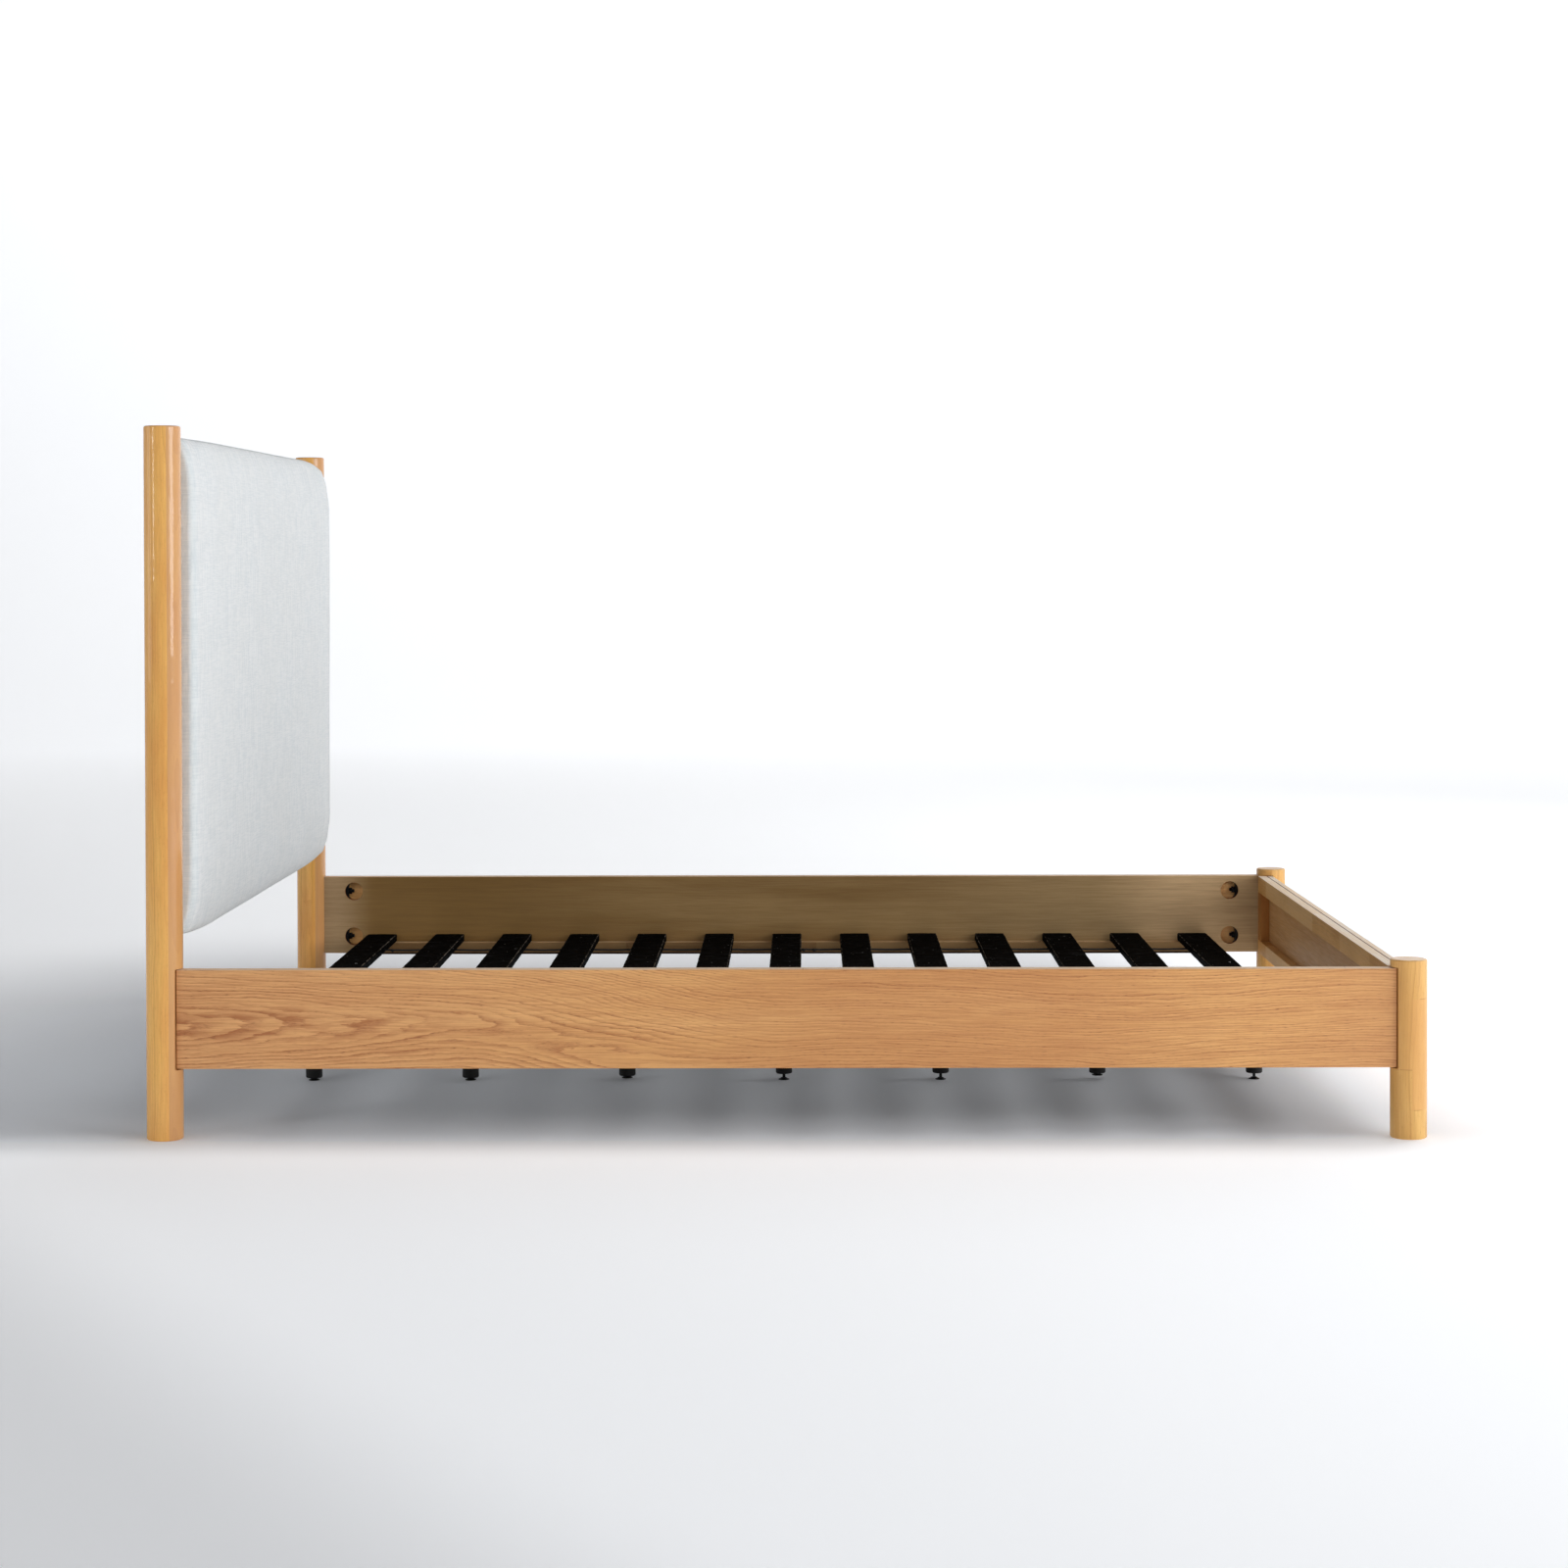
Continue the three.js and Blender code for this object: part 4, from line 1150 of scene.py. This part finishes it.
def makeTapes():
    for side, way in sides.items():
        node = f"slat_tape_{side}"
        low, high = corners(node)
        rows, _ = boardRows(low, high, tape["edge"], "x", 2, 260, 4)
        middle = sum(corner[0] for corner in corners("slat_01")) / 2
        rows[..., 2] -= tape["sag"] * np.sin(math.pi * (rows[..., 0] - middle) / tape["pitch"]) ** 4
        knotY = (low[1] if way > 0 else high[1]) + way * 0.003
        knots = [knotRows((x, knotY, (low[2] + high[2]) / 2 - 0.0004)) for x in tape["knots"]]
        finishPiece(addPiece(f"tape_{side}", rows), "tape", [node], sharpFrom=70)
        finishPiece(addPiece(f"tape_knots_{side}", *knots), "tape", sharpFrom=80, weighted=False)


ledge = dict(
    edge=0.0012,
    screws=7,
    screwInset=0.060,
    screwRadius=0.002,
    screwDepth=0.0005,
    screwPitch=0.0018,
    screwReach=0.014,
)


def makeLedges():
    for side, way in sides.items():
        node = f"slat_ledge_{side}"
        low, high = corners(node)
        railLow, railHigh = corners(f"side_rail_{side}")
        faceY = (railLow if way > 0 else railHigh)[1] - way * 0.0003
        inner = (low if way > 0 else high)[1]
        board = (np.array([low[0], inner, low[2]]), np.array([high[0], faceY, high[2]]))
        rows, _ = boardRows(*board, ledge["edge"], "x")
        item = addPiece(f"ledge_{side}", rows)
        finishPiece(item, "ledge ledgeTop", [node])
        paintFaces(item, faceNormals(item)[:, 2] > 0.6)
        level = (low[2] + high[2]) / 2
        thread = [ledge[name] for name in ("screwRadius", "screwDepth", "screwPitch")]
        start, end = (inner + faceY) / 2, faceY + way * ledge["screwReach"]
        places = np.linspace(low[0] + ledge["screwInset"], high[0] - ledge["screwInset"], ledge["screws"])
        grids = [threadRows(*thread, start, end, (x, 0, level), "y", 14, 6) for x in places]
        finishPiece(addPiece(f"ledge_screws_{side}", *grids), "zinc", sharpFrom=60)


makeSlats()
makeTapes()
makeLedges()
print("slats, tapes and ledges made")


# Support legs and levelling feet
leg = dict(edge=0.0026, topEdge=0.0006, bore=0.0033, boreDepth=0.034, stud=0.004)
foot = dict(stem=0.003, thread=0.00035, pitch=0.001, sole=0.0008, rim=0.0013, cone=0.0043, neck=0.0046)


# A leg's profile from the bore to the stud: a rounded lower edge and a straight side.
def legRows(low, high, top):
    radius = (high[0] - low[0]) / 2
    centre = (low + high) / 2
    bottom, edge, topEdge, bore, stud = low[2], leg["edge"], leg["topEdge"], leg["bore"], leg["stud"]
    profile = [(0, bottom + leg["boreDepth"]), (bore, bottom + leg["boreDepth"]), (bore, bottom + 0.0004)]
    profile += [(bore + 0.0004, bottom), (radius - edge, bottom)]
    profile += arc(radius - edge, bottom + edge, edge, -90, 0)[1:]
    profile += arc(radius - topEdge, top - topEdge, topEdge, 0, 90, 3)
    profile += [(stud, top), (stud, high[2] - 0.001), (stud - 0.001, high[2]), (0, high[2])]
    return turnedRows(profile, (centre[0], centre[1], 0), "z", 56)


# A levelling foot: rubber sole, steel rim, a cone up to the neck, and a threaded stem.
def footRows(low, high):
    radius = (high[0] - low[0]) / 2
    centre = ((low[0] + high[0]) / 2, (low[1] + high[1]) / 2, 0)
    bottom, sole, rim = low[2], foot["sole"], foot["rim"]
    shoulder, coneTop = radius - 0.0004, bottom + foot["cone"]
    profile = [(0, bottom), (radius - 0.0012, bottom)]
    profile += arc(radius - sole, bottom + sole, sole, -90, 0, 3)
    profile += [(radius, bottom + rim - 0.0003), (shoulder, bottom + rim)]
    s = np.linspace(0, 1, 8)[1:]
    cone = shoulder + (foot["neck"] - shoulder) * s**0.85
    profile += np.stack([cone, bottom + rim + (foot["cone"] - rim) * s**1.25], axis=1).tolist()
    profile += [(foot["stem"] - foot["thread"], coneTop + 0.0002), (0, coneTop + 0.0002)]
    thread = [foot[name] for name in ("stem", "thread", "pitch")]
    stem = threadRows(*thread, coneTop - 0.0004, high[2], centre, "z", 20, 6)
    return turnedRows(profile, centre, "z", 44), stem


def makeLegs():
    legTop = corners("slat_01")[0][2] - 0.0003
    for number in (f"{count:02d}" for count in range(1, 15)):
        node, body = f"support_leg_{number}", f"foot_{number}"
        item = addPiece(f"leg_{number}", legRows(*corners(node), legTop))
        finishPiece(item, "leg", [node], sharpFrom=35)
        node = f"levelling_foot_{number}"
        disc, stem = footRows(*corners(node))
        finishPiece(addPiece(f"leveller_{number}", disc), "foot", [node], body, 35)
        item = addPiece(f"leveller_stem_{number}", stem)
        finishPiece(item, "foot", (), body, 60, weighted=False)


makeLegs()
print("legs and levelling feet made")


# Headboard pad. Sizes from the floor and from the head posts' axes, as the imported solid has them.
pad = dict(
    edgeReach=0.0235,
    crownReach=0.0518,
    roll=0.110,
    sideLength=0.030,
    sideDepth=0.016,
    backRadius=0.006,
    boardFace=0.0092,  # the front of the board inside, and the least height over it
    boardTop=-0.0011,
    cornerLift=0.009,
    liftLength=0.240,
    rowsAcross=260,
    topLine=(  # places across the bed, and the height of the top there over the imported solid's
        (-0.753, -0.0010),
        (-0.45, 0.0018),
        (0.0, 0.0030),
        (0.40, 0.0036),
        (0.53, 0.0042),
        (0.60, 0.0032),
        (0.68, -0.0015),
        (0.753, -0.009),
    ),
    frontSteps=150,
    swell=(0.0006, 0.0004),
    tension=0.0010,  # depth of the drawn creases at the corners
    tensionReach=0.085,
    creasePlace=(0.455, 1.196),  # a short crease near the far top corner: Y and Z
    creaseDepth=0.0036,
    creaseReach=(0.008, 0.026),  # across the crease and along it
    creaseWay=(0.83, -0.55),
)


# A section of the pad at one place across the bed, from the lower edge up the front and back down the
# back. The front rolls back by a quarter ellipse towards the top and the bottom, x = e + (c - e)
# sqrt(1 - (1 - s)^2), and each end is drawn in round the edge of the foam.
def padRows():
    low, high = corners("headboard_cover")
    postLow, postHigh = corners("head_post_left")
    axisX = (postLow[0] + postHigh[0]) / 2
    half = high[1]
    q = np.linspace(0, math.pi / 2, 14)
    nearEnd = pad["sideLength"] * (1 - np.cos(q))
    fromEnd = np.concatenate([nearEnd, np.linspace(pad["sideLength"], half, pad["rowsAcross"] // 2)[1:]])
    y = np.concatenate([fromEnd - half, (half - fromEnd)[::-1][1:]])
    fromEnd = half - np.abs(y)
    edge = np.minimum(fromEnd / pad["sideLength"], 1)
    pull = pad["sideDepth"] * (1 - np.sqrt(1 - (1 - edge) ** 2))
    lift = pad["cornerLift"] * np.maximum(0, 1 - fromEnd / pad["liftLength"]) ** 2
    bottom = low[2] + lift[:, None]
    stations, heights = np.array(pad["topLine"]).T
    slack = np.interp(y, stations, heights)
    for _ in range(30):
        slack[1:-1] = (slack[:-2] + 2 * slack[1:-1] + slack[2:]) / 4
    top = (high[2] + slack)[:, None]
    count = pad["frontSteps"]
    spread = (1 - np.cos(np.linspace(0, math.pi, count))) / 2 * 0.6 + np.linspace(0, 1, count) * 0.4
    z = bottom + (top - bottom) * spread
    share = np.minimum(np.minimum(z - bottom, top - z) / pad["roll"], 1)
    roll = np.sqrt(np.maximum(0, 1 - (1 - share) ** 2))
    x = axisX + pad["edgeReach"] + (pad["crownReach"] - pad["edgeReach"]) * roll - pull[:, None]
    front = np.stack([x, np.broadcast_to(y[:, None], x.shape), z], axis=-1)
    back = low[0]
    r = pad["backRadius"]
    flat = np.linspace(0, 1, 60)[1:-1]

    def section(xs, zs):
        return np.stack([np.broadcast_to(xs, zs.shape), np.broadcast_to(y[:, None], zs.shape), zs], axis=-1)

    def line(fromX, toX, fromZ, toZ, share, climb=None):
        rise = share if climb is None else climb
        return section(fromX + (toX - fromX) * share, fromZ + (toZ - fromZ) * rise)

    def bend(start, middleZ):
        a = np.linspace(start, start + math.pi / 2, 6)
        return section(back + r + r * np.cos(a), middleZ + r * np.sin(a))

    frontTopX, frontLowX = x[:, -1:], x[:, :1]
    short = np.linspace(0, 1, 9)[1:-1]
    rear = np.concatenate([np.linspace(0, 0.5, 9)[1:], np.linspace(0.5, 1, 4)[1:-1]])
    behind = (frontTopX - back - r) * rear
    climb = np.clip(behind / np.maximum(frontTopX - axisX - pad["boardFace"], 0.002), 0, 1)
    backTop = (high[2] + np.maximum(slack, pad["boardTop"]))[:, None]
    upper = line(frontTopX, back + r, top, backTop, rear, climb)
    topCorner = bend(math.pi / 2, backTop - r)
    rearFace = line(back, back, backTop - r, bottom + r, flat)
    lowCorner = bend(math.pi, bottom + r)
    under = line(back + r, frontLowX, bottom, bottom, short)
    return np.concatenate([front, upper, topCorner, rearFace, lowCorner, under], axis=1), axisX


# Creases and slackness: soft folds that fan from the front corners, one short crease near the far top
# corner, and a slow swell over the face. They move the front along X by a millimetre or two, and the
# short crease by about 4 mm.
def drapePad(rows, axisX):
    low, high = corners("headboard_cover")
    x, y, z = rows[..., 0], rows[..., 1], rows[..., 2]
    front = np.clip((x - (axisX + pad["edgeReach"] - 0.014)) / 0.02, 0, 1)
    slow, quick = pad["swell"]
    swell = slow * np.sin(5.1 * y + 0.7) * np.sin(6.3 * (z - low[2])) + quick * np.sin(13.0 * y - 9.0 * z)
    folds = np.zeros_like(x)
    for cornerY in (low[1], high[1]):
        for cornerZ in (low[2], high[2]):
            dy, dz = np.abs(y - cornerY), np.abs(z - cornerZ)
            distance = np.hypot(dy, dz)
            bearing = np.arctan2(dz, dy)
            fading = pad["tension"] * np.exp(-distance / pad["tensionReach"])
            folds += fading * np.sin(11 * bearing + 60 * distance)
    dy, dz = y - pad["creasePlace"][0], z - pad["creasePlace"][1]
    wayY, wayZ = pad["creaseWay"]
    across, along = dz * wayY - dy * wayZ, dy * wayY + dz * wayZ
    reachAcross, reachAlong = pad["creaseReach"]
    crease = -pad["creaseDepth"] * np.exp(-((across / reachAcross) ** 2) - (along / reachAlong) ** 2)
    rows[..., 0] = x + front * (swell + folds + crease)
    return rows


# Thread map in metres: Y and Z, but X and Z on the flat ends, and Y and X on top and underneath.
def mapThreads(item):
    mesh = item.data
    index = np.empty(len(mesh.loops), np.int32)
    mesh.loops.foreach_get("vertex_index", index)
    points = np.empty(len(mesh.vertices) * 3)
    mesh.vertices.foreach_get("co", points)
    totals = np.empty(len(mesh.polygons), np.int32)
    mesh.polygons.foreach_get("loop_total", totals)
    normal = np.abs(np.repeat(faceNormals(item), totals, axis=0))
    place = points.reshape(-1, 3)[index]
    endFace = normal[:, 1] > 0.8
    topFace = ~endFace & (normal[:, 2] > 0.8)
    u = np.where(endFace, place[:, 0], place[:, 1])
    v = np.where(topFace, place[:, 0], place[:, 2])
    layer = mesh.uv_layers.new(name="threads")
    layer.data.foreach_set("uv", np.stack([u, v], axis=1).ravel().astype(np.float32))


def makePad():
    rows = drapePad(*padRows())
    ends = []
    for end in (rows[0], rows[-1]):  # each flat end closes over a smaller ring
        middle = end.mean(axis=0)
        ends.append(middle + (end - middle) * (0.5, 1, 0.96))
    rows = np.concatenate([ends[0][None], rows, ends[1][None]])
    item = addPiece("pad_cover", rows)
    mapThreads(item)
    stands = ["headboard_cover", "headboard_foam"]
    finishPiece(item, "linen", stands, sharpFrom=50, weighted=False)


makePad()
for node in ("headboard_frame", "headboard_board"):
    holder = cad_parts[node]
    holder.data.materials.clear()
    holder.data.materials.append(finishes["rawWood"])
print("headboard pad made")


# Floor and light
stage = dict(
    radius=11.0,
    rise=4.0,
    wall=7.5,
    floorTone=tone(233, 236, 241),
    shade=((-1.1, 0.78), (-0.70, 0.62)),  # the floor left without glow, a painted shadow under and round the bed, along X and along Y
    shadeFade=((1.65, 0.5), (0.29, 1.9)),
    shadeLean=(-0.12, 0.12),
    corner=(-0.841, -0.541),  # towards the floor's corner of painted shade
    paintedCornerShadeRamp=(1.62, 2.1, 1.0, 0.79),
    glow=0.366,
    glowTowards=(0.9, 0.5),
    glowRamp=(-2.3, 1.0, 0.0, 0.160),
    wallRamp=(0.5, 5.0, 0.0, 0.13),
    sky=0.04,
)
lamps = {
    "right softbox": dict(place=(2.23, -3.04, 1.7), aim=(0.3, 0.0, 0.5), size=(0.2, 1.5), power=4.5),
    "right fill": dict(place=(4.2, -4.4, 2.3), aim=(0.3, 0.0, 0.4), size=(1.6, 1.6), power=32),
    "left softbox": dict(place=(-3.96, -3.55, 1.7), aim=(-0.6, 0.0, 0.6), size=(0.36, 1.5), power=16),
    "far left": dict(place=(-5.0, -1.4, 1.5), aim=(-1.0, 0.0, 0.7), size=(2.2, 1.8), power=16),
    "high front": dict(place=(0.5, -5.0, 3.6), aim=(0.1, 0.1, 0.2), size=(3.0, 1.6), power=17),
    "low right": dict(place=(6.0, -3.2, 1.3), aim=(0.0, 0.0, 0.5), size=(3.2, 1.4), power=84),
    "far right": dict(place=(7.0, -2.5, 3.5), aim=(0.0, 0.0, 0.2), size=(4.0, 3.0), power=62),
    "above the foot": dict(place=(2.1, 0.2, 2.3), aim=(1.06, 0.0, 0.3), size=(0.8, 1.6), power=13),
    "back right": dict(place=(3.5, 4.5, 3.2), aim=(0.0, 0.0, 0.2), size=(4.5, 3.0), power=66),
}


# A shallow bowl: a flat floor that curves up into a wall, so that no edge shows behind the bed. It glows as
# painted light, most at the back on the right; a painted shadow leaves the glow out under and round the bed,
# and a painted shade dulls its colour and glow towards one corner.
def makeStage():
    a = np.linspace(0, math.pi / 2, 20)
    flat, rise = stage["radius"], stage["rise"]
    radius = np.concatenate([[0.0, 2, 5, flat - 1], flat + rise * np.sin(a), [flat + rise]])
    height = np.concatenate([[0.0, 0, 0, 0], rise * (1 - np.cos(a)), [stage["wall"]]])
    rows = ringRows(height, radius[:, None], circle(96), (0, 0, 0), "z")
    faces = gridFaces(len(height), 96, False, 0)[:-2]  # without the two end faces
    mesh = bpy.data.meshes.new("studio floor")
    mesh.from_pydata(rows.reshape(-1, 3).tolist(), [], faces)
    mesh.shade_smooth()
    finish, tree, shader = newFinish("studio floor", Roughness=0.85)
    shader.inputs["Emission Color"].default_value = (1, 1, 1, 1)
    x, y, _ = grainAxes(tree, "x", "y", "z")
    out = []
    leaning = [sums(tree, "MULTIPLY_ADD", y, lean, x) for lean in stage["shadeLean"]]
    for (lowPart, highPart), (low, high), (fadeLow, fadeHigh) in zip(
        (leaning, (y, y)), stage["shade"], stage["shadeFade"]
    ):
        below = sums(tree, "DIVIDE", sums(tree, "SUBTRACT", low, lowPart), fadeLow)
        above = sums(tree, "DIVIDE", sums(tree, "SUBTRACT", highPart, high), fadeHigh)
        out.append(sums(tree, "MAXIMUM", sums(tree, "MAXIMUM", below, above), 0.0))
    # Painted shadow: no glow under and round the bed, fading in outside it.
    around = ramp(tree, hypot(tree, *out), 0.0, 1.0)
    towards, corner = [
        sums(tree, "MULTIPLY_ADD", x, way[0], times(tree, y, way[1]))
        for way in (stage["glowTowards"], stage["corner"])
    ]
    # Painted shade: the floor's colour and glow drop towards one corner.
    cornerShadeShare = ramp(tree, corner, *stage["paintedCornerShadeRamp"])
    tilt = sums(tree, "ADD", ramp(tree, towards, *stage["glowRamp"]), ramp(tree, towards, *stage["wallRamp"]))
    glow = times(tree, around, sums(tree, "ADD", tilt, stage["glow"]))
    tree.links.new(times(tree, glow, cornerShadeShare), shader.inputs["Emission Strength"])
    cornerShadeColour = put(tree, "CombineColor", {0: cornerShadeShare, 1: cornerShadeShare, 2: cornerShadeShare}).outputs[0]
    tree.links.new(mixTone(tree, 1.0, stage["floorTone"], cornerShadeColour, "MULTIPLY"), shader.inputs["Base Color"])
    finish.cycles.emission_sampling = "NONE"  # the glow is wide and even, and is found without aiming at it
    mesh.materials.append(finish)
    item = linkItem("studio_floor", mesh)
    world = bpy.data.worlds.new("studio")
    bpy.context.scene.world = world
    world.use_nodes = True
    sky = world.node_tree.nodes["Background"]
    sky.inputs["Color"].default_value = (1, 1, 1, 1)
    sky.inputs["Strength"].default_value = stage["sky"]


def makeLamps():
    for name, lamp in lamps.items():
        data = bpy.data.lights.new(name, "AREA")
        data.shape = "RECTANGLE"
        data.size, data.size_y = lamp["size"]
        data.energy = lamp["power"]
        item = linkItem(name, data)
        item.visible_camera = False
        way = np.array(lamp["aim"]) - np.array(lamp["place"])
        pan = math.atan2(way[1], way[0]) - math.pi / 2
        tilt = math.atan2(way[2], math.hypot(way[0], way[1])) + math.pi / 2
        item.matrix_world = (
            Matrix.Translation(lamp["place"]) @ Matrix.Rotation(pan, 4, "Z") @ Matrix.Rotation(tilt, 4, "X")
        )


makeStage()
makeLamps()
print("floor and lights set")
